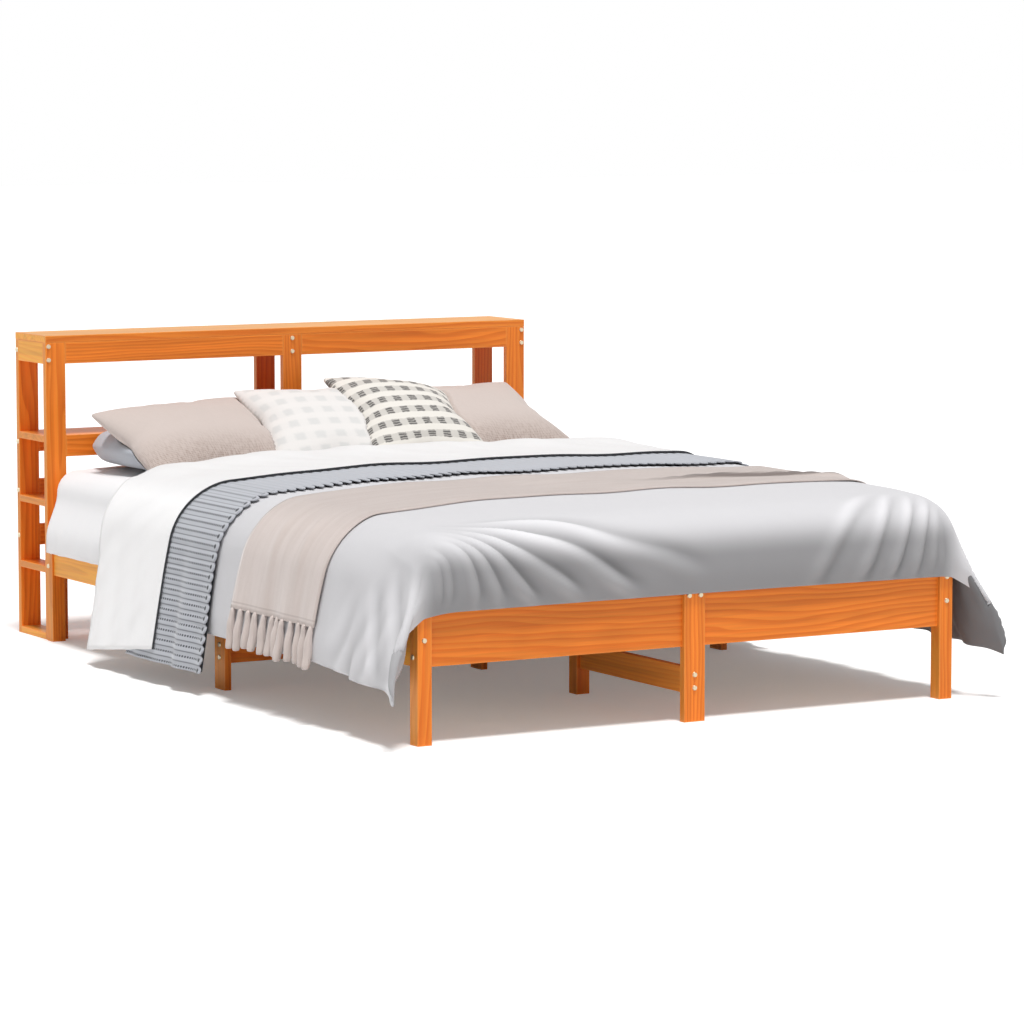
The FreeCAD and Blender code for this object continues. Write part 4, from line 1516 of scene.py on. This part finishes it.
    def mark_shade(self, duvet: Piece, creased: Array) -> None:
        """Paints shade into the valleys of the folds and onto the inner side of the drops, and highlight
        onto the ridges, as an attribute for the finish to read.

        Args:
            duvet: The thick duvet.
            creased: How far its folds stand out at each point.
        """
        points = points_of(duvet)
        away = np.abs(points[:, 0])
        half = len(points) // 2
        outer_first = np.sum(away[:half]) > np.sum(away[half:])
        inner = np.repeat((0.0, 1.0) if outer_first else (1.0, 0.0), half) * ease(away, 0.74, 0.76)
        tone = self.even_tone + np.clip(creased * self.fold_gain, *self.painted_fold_shade_and_highlight)
        # Painted shade on the inner side of the drops
        tone = tone * (1.0 - inner) + np.where(points[:, 0] < 0, *self.painted_inner_shade) * inner
        shade = duvet.data.attributes.new("shade", "FLOAT", "POINT")
        shade.data.foreach_set("value", tone)


@dataclass
class Knit(Layer):
    """The knitted blanket, a row of stitches beside another, each ending in a loop at the foot edge."""

    row: float = KNIT_ROW
    loop: float = 0.016
    loop_reach: float = 0.038
    point: float = 4.5
    point_reach: float = 0.11
    ridge: float = 0.0026

    def shape(self, flat: Array) -> Array:
        """Lays the blanket, with its foot edge drawn out into a loop at each row.

        Args:
            flat: The cut's points, across the bed and along it.

        Returns:
            The points in place.
        """
        phase = flat[:, 0] / self.row
        phase = phase - np.round(phase)
        round_end = 1.0 - np.sqrt(np.clip(1.0 - (phase / 0.5) ** 2, 0.0, 1.0))
        pointed = np.abs(phase / 0.5) ** 3
        on_top = 1.0 - ease(np.abs(flat[:, 0]), 0.62, 0.78)
        from_foot = flat[:, 1] - flat[:, 1].min()
        points = super().shape(flat)
        looped = 1.0 - ease(from_foot, 0.0, self.loop_reach)
        drawn = 1.0 - ease(from_foot, 0.0, self.point_reach)
        points[:, 1] += round_end * self.loop * looped * (1 - on_top)
        points[:, 1] += pointed * self.loop * self.point * drawn * on_top
        return points

    def relief(self, u: Array, y: Array) -> Array:
        """The rows, which stand up like cords side by side.

        Args:
            u: Places across the bed, along the cloth.
            y: Places along the bed.

        Returns:
            How far each place stands out.
        """
        phase = u / self.row
        phase = phase - np.round(phase)
        return side_folds(u, y) + self.ridge * (np.cos(math.pi * phase) ** 0.7)


@dataclass
class GapShadeStrip(Layer):
    """A dark strip behind the blanket's foot edge: painted shade that shows in the gaps between the loops.
    """

    swing: float = 0.023
    behind: float = 0.0045

    def shape(self, flat: Array) -> Array:
        """Lays the strip, and takes it along with the blanket's foot edge at the sides.

        Args:
            flat: The cut's points, across the bed and along it.

        Returns:
            The points in place.
        """
        points = super().shape(flat)
        points[:, 1] += self.swing * ease(np.abs(flat[:, 0]), 0.66, 0.95)
        points[:, 0] -= self.behind * np.sign(flat[:, 0]) * ease(np.abs(flat[:, 0]), 0.66, 0.8)
        return points


@dataclass
class Throw(Layer):
    """The throw, with a few soft creases across the top."""

    swing: float = 0.022
    swings_at: float = 0.78
    swings_over: float = 0.12
    settled: float = 0.002
    folds: tuple[Fold, ...] = (
        Fold((0.10, -0.50), (0.84, -0.63), 0.012, 0.013),
        Fold((-0.3, -0.42), (0.5, -0.5), 0.003, 0.03),
        Fold((-0.62, -0.55), (-1.0, -0.6), 0.004, 0.02),
        Fold((-0.62, -0.42), (-1.0, -0.45), 0.004, 0.02),
    )

    def shape(self, flat: Array) -> Array:
        """Lays the throw, which swings to the foot over the shoulders and settles at its foot edge.

        Args:
            flat: The cut's points, across the bed and along it.

        Returns:
            The points in place.
        """
        points = super().shape(flat)
        away = np.abs(flat[:, 0])
        points[:, 1] -= self.swing * np.exp(-(((away - self.swings_at) / self.swings_over) ** 2))
        to_edge = 1.0 - ease(flat[:, 1] - flat[:, 1].min(), 0.0, 0.02)
        points[:, 2] -= self.settled * to_edge * (1.0 - ease(away, 0.6, 0.7))
        return points

    def relief(self, u: Array, y: Array) -> Array:
        """Its creases, and the folds that it shares with the duvet.

        Args:
            u: Places across the bed, along the cloth.
            y: Places along the bed.

        Returns:
            How far each place stands out.
        """
        total = side_folds(u, y)
        for fold in self.folds:
            total = total + np.maximum(fold.lift(u, y), 0.0)
        return total


@dataclass
class Coverlet(Layer):
    """The coverlet, plump along its head edge, where it comes down to the sheet."""

    hump: float = 0.012
    dents: float = 0.003
    comes_down: float = 0.028

    def shape(self, flat: Array) -> Array:
        """Lays the coverlet, and brings its head edge down behind the duvet.

        Args:
            flat: The cut's points, across the bed and along it.

        Returns:
            The points in place.
        """
        points = super().shape(flat)
        y = points[:, 1]
        top = 1.0 - ease(np.abs(flat[:, 0]), 0.66, 0.74)
        behind = ease(y, self.head - 0.035, self.head)
        points[:, 2] -= behind * top * self.comes_down
        return points

    def relief(self, u: Array, y: Array) -> Array:
        """Its plump head side and a few soft dents.

        Args:
            u: Places across the bed, along the cloth.
            y: Places along the bed.

        Returns:
            How far each place stands out.
        """
        on_top = 1 - ease(np.abs(u), 0.6, 0.8)
        plump = self.hump * np.exp(-(((y - self.head + 0.09) / 0.07) ** 2)) * on_top
        from_foot = ease(y, self.foot + 0.03, self.foot + 0.12)
        dents = self.dents * ripple(u * 1.4 + y, 17, 0.12, 0.5, 5) * from_foot
        return side_folds(u, y) + plump + np.maximum(dents, -0.001)


def edge_tube(name: str, line: Array, radius: float) -> Piece:
    """Makes a round tube along a line of points, as piping is.

    Args:
        name: The piece's name.
        line: The points.
        radius: The tube's radius.

    Returns:
        The tube as a mesh with closed ends.
    """
    curve = bpy.data.curves.new(name, "CURVE")
    curve.dimensions = "3D"
    curve.bevel_depth = radius
    curve.bevel_resolution = 1
    curve.use_fill_caps = True
    spline = curve.splines.new("POLY")
    spline.points.add(len(line) - 1)
    for point, place in zip(spline.points, line):
        point.co = (*place, 1.0)
    take(link_new(name, curve))
    bpy.ops.object.convert(target="MESH")
    tube = name_piece(bpy.context.object, name)
    smooth(tube)
    return tube


@dataclass
class Pillow:
    """A stuffed case, blown up from two flat pieces of cloth sewn together."""

    name: str
    node: str
    finish: ClothFinish
    size: tuple[float, float, float]
    place: tuple[float, float, float]
    turn: float = 0.0
    lean: float = 0.0
    droop: tuple[float, float] = (0.0, 0.0)
    square: float = 2.4
    pitch: float = 0.0125
    drawn: float = 0.05
    creased: float = 0.3
    case: float = 0.012
    upper_gap: float = 0.003
    lower_gap: float = 0.007
    floor_gap: float = 0.001

    def placed(self, points: Array) -> Array:
        """Turns points of the lying pillow into their place on the bed.

        Args:
            points: The lying pillow's points.

        Returns:
            The points in place.
        """
        lean, turn = math.radians(self.lean), math.radians(self.turn)
        x, y, z = points.T
        y, z = turned(y, z, lean)
        x, y = turned(x, y, turn)
        return np.stack([x, y, z], axis=1) + self.place

    def stuffed(self) -> Piece:
        """Sews the case flat and fills it out.

        Returns:
            The pillow, lying flat at the origin at its own size.
        """
        width, height, plump = self.size
        case = cut_cloth(self.name, width, height, self.pitch, self.pitch)
        finish_modifier(case, "SOLIDIFY", thickness=self.case, offset=0.0)
        flat = points_of(case)
        a, b = flat[:, 0] / (width / 2), flat[:, 1] / (height / 2)
        full = np.clip((1 - np.abs(a) ** self.square) * (1 - np.abs(b) ** self.square), 0, 1) ** 0.55
        even = flat.copy()
        even[:, 2] = flat[:, 2] + np.sign(flat[:, 2]) * (plump - self.case) / 2 * full
        even[:, 0] *= 1 - self.drawn * np.abs(a) ** 3 * (1 - b**2)
        even[:, 1] *= 1 - self.drawn * np.abs(b) ** 3 * (1 - a**2)
        points = even
        Settling().run(case)
        blown = points_of(case)
        blown -= (blown.max(0) + blown.min(0)) / 2
        blown *= np.array(self.size) / (blown.max(0) - blown.min(0))
        points = even + (blown - even) * self.creased
        for side, far in zip((-1, 1), self.droop):
            corner = np.clip((side * a + b) / 2, 0, 1) ** 2
            points[:, 1] -= far * corner
            points[:, 0] -= 0.2 * side * far * corner
        set_points(case, points)
        finish_modifier(case, "SUBSURF", levels=1, render_levels=1)
        smooth(case)
        return case

    def build(self, upon: list[Piece], floor: float) -> Piece:
        """Makes the pillow, lays it down, and dents it where others lie on it.

        Args:
            upon: The pillows that lie on it.
            floor: The height of the sheet that it rests on.

        Returns:
            The piece.
        """
        case = self.stuffed()
        flat = points_of(case)
        points = self.placed(flat)
        lean, turn = math.radians(self.lean), math.radians(self.turn)
        down = Vector((-math.sin(lean) * math.sin(turn), math.sin(lean) * math.cos(turn), -math.cos(lean)))
        core = self.placed(flat * (1, 1, 0))
        for other in upon:
            tree = tree_of(other)
            for i, middle in enumerate(core):
                hit = tree.ray_cast(Vector(middle) + down * 0.3, -down, 0.6)[0]
                if hit is None:
                    continue
                floor_of_other = (hit - Vector(middle)).dot(down)
                depth = float(np.dot(points[i] - middle, down))
                least = floor_of_other + (self.upper_gap if flat[i, 2] > 0 else self.lower_gap)
                if depth < least:
                    points[i] = middle + np.array(down) * least
        points[:, 2] = np.maximum(points[:, 2], floor + self.floor_gap)
        set_points(case, points)
        return case


@dataclass
class Mattress:
    """The mattress, a padded block with rolled edges and quilted faces."""

    name: str = "mattress_pad"
    quilt: float = 0.2
    tuft_depth: float = 0.004
    middle: float = 0.35
    sunk: float = 1.3

    def build(self) -> Piece:
        """Builds the mattress inside its solid.

        Returns:
            The piece.
        """
        low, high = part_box("mattress")
        deselect()
        bpy.ops.mesh.primitive_cube_add(size=1.0, location=(low + high) / 2)
        pad = name_piece(bpy.context.object, self.name)
        bpy.ops.transform.resize(value=high - low)
        bpy.ops.object.transform_apply(location=True, rotation=True, scale=True)
        finish_modifier(pad, "BEVEL", width=0.07, segments=8)
        with editing(pad):
            bpy.ops.mesh.subdivide(number_cuts=5)
        points = points_of(pad)
        across, along = (np.cos(points[:, axis] * 2 * math.pi / self.quilt) for axis in (0, 1))
        tuft = 0.5 - 0.5 * across * along
        inner = 1.0 - ease(np.abs(points[:, 0]), 0.6, 0.66)
        points[:, 2] -= np.sign(points[:, 2] - self.middle) * self.tuft_depth * tuft * inner
        points[:, 2] -= self.sunk * slump(points[:, 0]) * ease(points[:, 2], 0.3, 0.45)
        set_points(pad, points)
        smooth(pad)
        return pad


@dataclass
class FittedSheet:
    """The sheet, whose sides hang over the rails and whose corners are sewn round."""

    drop: float = 0.244
    head_drop: float = 0.12
    core_x: float = 0.663
    core_head: float = 0.925
    core_foot: float = -1.0
    bend: float = 0.055
    flare: float = 0.034
    end_out: float = 0.028
    corner: float = 0.8
    crease: float = 0.003
    dent: float = 0.0015
    pitch: float = 0.015
    thick: float = 0.0025

    def build(self) -> Piece:
        """Cuts the sheet, draws it over the mattress and creases its sides.

        Returns:
            The piece.
        """
        width = 2 * (self.core_x + self.drop)
        length = self.core_head - self.core_foot + 2 * self.head_drop
        cloth = cut_cloth("sheet_fitted", width, length, self.pitch, self.pitch)
        flat = points_of(cloth)
        a = flat[:, 0]
        b = flat[:, 1] + (self.core_head + self.core_foot) / 2
        near_a = np.clip(a, -self.core_x, self.core_x)
        near_b = np.clip(b, self.core_foot, self.core_head)
        off = np.stack([a - near_a, b - near_b], axis=1)
        far = np.linalg.norm(off, axis=1)
        way = off / np.maximum(far, 1e-9)[:, None]
        turn = np.clip(far / self.bend, 0, math.pi / 2)
        rest = np.maximum(far - self.bend * math.pi / 2, 0.0)
        flared = self.flare * ease(rest, 0.0, 0.12)
        out = self.bend * np.sin(turn) + flared - 0.006 * ease(rest, 0.15, 0.22)
        crease = self.crease * ease(rest, 0.03, 0.14) * ripple(b + a * 0.3, 3, 0.05, 0.16, 5)
        round_corner = 1.0 - np.abs(way[:, 0] * way[:, 1]) * self.corner
        out_x = (out + crease) * np.where(b > self.core_head, round_corner, 1.0)
        x = near_a + way[:, 0] * out_x
        y = near_b + way[:, 1] * np.minimum(out, self.end_out)
        z = SHEET_TOP - 0.002 - self.bend * (1 - np.cos(turn)) - rest
        dent = self.dent * ripple(a * 1.2 + b, 9, 0.15, 0.6, 4)
        z = z + np.where(far < 1e-6, dent - self.dent, 0.0)
        under_duvet = 1.0 - ease(y, 0.40, 0.47)
        at_foot = 1.0 - ease(y, -0.98, -0.8)
        for share, drawn, to, lowered, since, above in (
            (under_duvet, 0.012, 0.72, 0.013, 0.52, 0.40),
            (at_foot, 0.03, 0.74, 0.02, 0.55, 0.43),
        ):
            x = x - np.sign(x) * share * ease(np.abs(x), 0.6, to) * drawn
            z = z - share * ease(np.abs(x), since, 0.7) * lowered * (z > above)
        z = z - slump(x)
        set_points(cloth, np.stack([x, y, z], axis=1))
        finish_modifier(cloth, "SOLIDIFY", thickness=self.thick, offset=0.0)
        smooth(cloth)
        cloth["flat"] = (width, length)
        return cloth


@dataclass
class Tassels:
    """The knotted tassels along both hems of the throw."""

    count: int = 12
    inset: float = 0.014
    flute: float = 0.13
    twist: float = 0.0012

    def one(self) -> Piece:
        """Models one tassel hanging from the origin: a knot, a neck and a spreading twisted bundle.

        Returns:
            The tassel.
        """
        deselect()
        height, radius = 0.004, 0.0015
        bpy.ops.mesh.primitive_circle_add(
            vertices=12, radius=radius, fill_type="NGON", location=(0, 0, height)
        )
        tassel = name_piece(bpy.context.object, "tassel")
        rings = ((0.002, 0.0055), (-0.004, 0.0076), (-0.011, 0.0080), (-0.016, 0.0076), (-0.024, 0.0090))
        rings += ((-0.036, 0.0102), (-0.052, 0.0108), (-0.068, 0.0108), (-0.081, 0.0104), (-0.088, 0.0088))
        with editing(tassel):
            for down, wide in rings:
                bpy.ops.mesh.extrude_region_move(TRANSFORM_OT_translate={"value": (0, 0, down - height)})
                bpy.ops.transform.resize(value=(wide / radius, wide / radius, 1.0))
                height, radius = down, wide
        points = points_of(tassel)
        angle = np.arctan2(points[:, 1], points[:, 0])
        below_knot = ease(-points[:, 2], 0.004, 0.02)
        fluted = 1.0 + self.flute * np.cos(4 * angle + points[:, 2] * 60.0) * below_knot
        points[:, :2] *= fluted[:, None]
        set_points(tassel, points)
        with editing(tassel):
            bpy.ops.mesh.normals_make_consistent(inside=False)
        finish_modifier(tassel, "SUBSURF", levels=1, render_levels=1)
        return tassel

    def build(self, throw: Layer) -> Piece:
        """Hangs a tassel at each place along both hems.

        Args:
            throw: The throw that they hang from.

        Returns:
            The tassels as one piece.
        """
        pattern = self.one()
        shape = points_of(pattern)
        rng = np.random.default_rng(7)
        made = []
        for side in (-1, 1):
            reach = Hill(throw.lift).reach(throw.hem, side)
            for y in np.linspace(throw.foot + self.inset, throw.head - self.inset, self.count):
                x, z = Hill(throw.lift).across(np.array([side * reach]))
                copy = pattern.copy()
                copy.data = pattern.data.copy()
                bpy.context.scene.collection.objects.link(copy)
                turn, size = rng.uniform(0, math.pi), rng.uniform(1.0, 1.12)
                sway_x, sway_y = rng.uniform(-0.03, 0.04), rng.uniform(-0.04, 0.04)
                points = shape * (1.0, 1.0, size)
                points[:, 0], points[:, 1] = turned(points[:, 0], points[:, 1], turn)
                fall = points[:, 2].copy()
                wave = self.twist * np.sin(fall * 90.0 + turn * 4)
                points[:, 0] += side * (SIDE_FLARE * 0.8 + sway_x) * -fall + wave
                points[:, 1] += sway_y * -fall
                out = float(side_folds(np.array([side * reach]), np.array([y]))[0])
                set_points(copy, points + (float(x[0]) + side * out, y, float(z[0])))
                made.append(copy)
        bpy.data.objects.remove(pattern)
        tassels = join(made, "throw_fringe")
        smooth(tassels)
        return tassels


# The room that the bed is shown in


@dataclass
class Studio:
    """A pale floor, one soft light from far away, white surroundings and the camera."""

    place: tuple[float, float, float] = (-5.25014, -9.33634, 1.52147)
    yaw: float = 0.524311854
    pitch: float = 0.104506172
    lens: float = 149.03
    shift: tuple[float, float] = (-0.0046, -0.0022)
    sky: float = 0.34
    painted_floor_glow: float = 0.16
    sun_aim: tuple[float, float, float] = (0.07, 0.24, -1.0)
    sun_spread: float = 14.0
    sun_strength: float = 2.75

    def camera(self) -> None:
        """Sets the camera that sees the bed as it is shown."""
        data = bpy.data.cameras.new("camera")
        data.lens = self.lens
        data.sensor_width = 36.0
        data.sensor_fit = "HORIZONTAL"
        data.shift_x, data.shift_y = self.shift
        data.clip_end = 100.0
        camera = link_new("camera", data)
        camera.location = self.place
        camera.rotation_euler = (math.pi / 2 - self.pitch, 0.0, -self.yaw)
        bpy.context.scene.camera = camera

    def seen_white(self, tree: Tree) -> Socket:
        """One where the camera, a mirror or glass looks, and zero for plain light.

        Args:
            tree: The world's tree.

        Returns:
            The value.
        """
        path = tree.add("ShaderNodeLightPath").outputs
        seen = tree.math("MAXIMUM", path["Is Camera Ray"], path["Is Glossy Ray"])
        return tree.math("MAXIMUM", seen, path["Is Transmission Ray"])

    def sun(self) -> None:
        """Adds the light, whose spread sets how soft the shadows are."""
        data = bpy.data.lights.new("sun_key", "SUN")
        data.angle = math.radians(self.sun_spread)
        data.energy = self.sun_strength
        lamp = link_new("sun_key", data)
        lamp.rotation_mode = "QUATERNION"
        lamp.rotation_quaternion = Vector(self.sun_aim).to_track_quat("-Z", "Y")

    def world(self) -> None:
        """Lights the room evenly, and shows white behind the bed."""
        world = bpy.data.worlds.new("studio")
        world.use_nodes = True
        tree = Tree(world.node_tree)
        background = next(n for n in world.node_tree.nodes if n.type == "BACKGROUND")
        strength = tree.math("MULTIPLY_ADD", self.seen_white(tree), 1.0 - self.sky, self.sky)
        tree.fill(background, {"Color": (1, 1, 1, 1), "Strength": strength})
        bpy.context.scene.world = world

    def floor(self) -> None:
        """Lays the white floor, which keeps the bed's shadow, with a glow that only the camera sees, which
        paints light over the floor and lightens that shadow.
        """
        deselect()
        bpy.ops.mesh.primitive_plane_add(size=80.0, location=(0, 0, 0))
        floor = name_piece(bpy.context.object, "floor")
        material, tree, shader = start_material("studio_floor")
        speck = tree.noise(tree.here(), 3.0, 4.0, 0.6)
        seen = tree.add("ShaderNodeLightPath").outputs["Is Camera Ray"]
        values = {
            "Base Color": tree.grey(tree.steps(speck, 0.3, 0.7, 0.95, 0.97)),
            "Roughness": 0.9,
            "Specular IOR Level": 0.1,
            "Emission Color": (1, 1, 1, 1),
            # Painted light: the floor glows for the camera alone
            "Emission Strength": tree.times(seen, self.painted_floor_glow),
        }
        tree.fill(shader, values)
        floor.data.materials.append(material)

    def build(self) -> None:
        """Builds the room."""
        self.world()
        self.floor()
        self.sun()
        bpy.context.scene.view_settings.view_transform = "Standard"


SOFT_NODES = {
    "mattress", "fitted_sheet", "duvet", "knitted_blanket", "coverlet", "throw", "throw_tassels",
    "pillow_grey", "pillow_taupe_left", "pillow_taupe_right", "cushion_light", "cushion_check",
}


def edge_line(cloth: Layer, v: float, out: float, step: float = 0.012) -> Array:
    """The line across the bed at one place along a laid cloth, a little above its face.

    Args:
        cloth: The cloth.
        v: How far the line is from the cloth's foot edge.
        out: How far it stands above the cloth's middle.
        step: The spacing of its points.

    Returns:
        The line's points.
    """
    reach = Hill(cloth.lift).reach(cloth.hem)
    u = np.linspace(-reach, reach, round(2 * reach / step))
    rows = np.array([v - 0.01, v, v + 0.01]) - (cloth.head - cloth.foot) / 2
    flat = np.array([[a, b, 0.0] for b in rows for a in u])
    points = cloth.shape(flat)
    raised = points + face_out(points, (3, len(u))) * out
    return raised[len(u) : 2 * len(u)]


@dataclass
class Bedding:
    """All that lies on the frame, from the mattress up."""

    effects: Effects
    pillows: tuple[Pillow, ...] = (
        Pillow(
            "pillow_dark_check", "cushion_check", DARK_CHECK, (0.345, 0.41, 0.105), (0.203, 0.6827, 0.580),
            turn=-5, lean=27, droop=(0.0, 0.10),
        ),
        Pillow(
            "pillow_pale_check", "cushion_light", PALE_CHECK, (0.38, 0.40, 0.105), (-0.045, 0.7047, 0.557),
            turn=-7, lean=27,
        ),
        Pillow(
            "pillow_right", "pillow_taupe_right", TAUPE_LINEN, (0.46, 0.40, 0.115), (0.44, 0.7127, 0.553),
            turn=7, lean=25,
        ),
        Pillow(
            "pillow_left", "pillow_taupe_left", TAUPE_LINEN, (0.50, 0.40, 0.115), (-0.41, 0.7127, 0.546),
            turn=8, lean=24, droop=(0.045, 0.0),
        ),
        Pillow(
            "pillow_slate", "pillow_grey", SLATE_LINEN, (0.59, 0.34, 0.095), (-0.318, 0.7667, 0.516),
            square=13.0, drawn=-0.06, creased=0.0,
        ),
    )

    def settle_in(self, piece: Piece, finish: ClothFinish, *nodes: str, slot: str = "") -> None:
        """Dresses a new piece and ties it to the frame.

        Args:
            piece: The piece.
            finish: Its finish.
            *nodes: The CAD nodes that it stands for.
            slot: Not used; the record's slot that the finish belongs to, where the finish isn't named after
                it.
        """
        piece.data.materials.clear()
        piece.data.materials.append(finish.material(self.effects))
        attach(piece, BODY)
        if nodes:
            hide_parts(*nodes)
        log.info("%s: %s faces, %s", piece.name, len(piece.data.polygons), finish.name)

    def cloths(self) -> None:
        """Builds the mattress, the sheet and the cloths over it."""
        pad = Mattress().build()
        self.settle_in(pad, MATTRESS_TICKING, "mattress", slot="mattress_cover")
        sheet = FittedSheet().build()
        self.settle_in(sheet, WHITE_COTTON, "fitted_sheet")
        duvet = Duvet().build()
        self.settle_in(duvet, DUVET_COTTON, "duvet")
        self.layers()

    def layers(self) -> None:
        """Builds the knitted blanket, the coverlet and the throw, with their edges."""
        knit = Knit(
            "blanket_knitted", -0.1953, 0.2647, 0.056, 0.0050, 0.003, 0.0095, fine=KNIT_ROW / 6, drift=0.04
        )
        piece = knit.build()
        self.settle_in(piece, GREY_BLUE_KNIT, "knitted_blanket")
        # A near-black strip of painted shade, which shows between the knit's loops
        gap_shade = GapShadeStrip("blanket_gap_shade", -0.1733, -0.1173, 0.060, 0.0056, 0.001, 0.007).build()
        self.settle_in(gap_shade, DARK_PIPING_AND_SHADE, slot="grey_blue_knit")
        coverlet = Coverlet(
            "coverlet_white", 0.0747, 0.4897, 0.04, 0.0125, 0.004, 0.012, foot_hem=0.088, drift=0.02
        )
        piece = coverlet.build()
        self.settle_in(piece, WHITE_COVERLET, "coverlet")
        piping = edge_tube("coverlet_piping", edge_line(coverlet, -0.002, 0.0005), 0.0023)
        self.settle_in(piping, DARK_PIPING_AND_SHADE, slot="white_coverlet")
        throw = Throw("throw_beige", -0.7103, -0.2853, 0.230, 0.0042, 0.003, 0.011)
        piece = throw.build()
        self.settle_in(piece, BEIGE_WOOL, "throw")
        fringe = Tassels().build(throw)
        self.settle_in(fringe, BEIGE_WOOL, "throw_tassels")

    def stack(self) -> None:
        """Builds the pillows from the topmost down, so that each is dented by those on it."""
        laid: list[Piece] = []
        for pillow in self.pillows:
            piece = pillow.build(laid, SHEET_TOP)
            self.settle_in(piece, pillow.finish, pillow.node)
            laid.append(piece)


def main() -> None:
    """Builds the looks of the whole bed."""
    logging.basicConfig(level=logging.INFO, format="%(name)s: %(message)s")
    for item in list(bpy.context.scene.objects):
        if item.type in {"MESH", "LIGHT", "CAMERA"} and "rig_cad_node" not in item:
            bpy.data.objects.remove(item)
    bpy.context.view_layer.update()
    studio = Studio()
    studio.camera()
    studio.build()
    effects = Effects.build()
    Carcass().dress(effects, SOFT_NODES)
    bedding = Bedding(effects)
    bedding.cloths()
    bedding.stack()


if __name__ == "__main__":
    main()
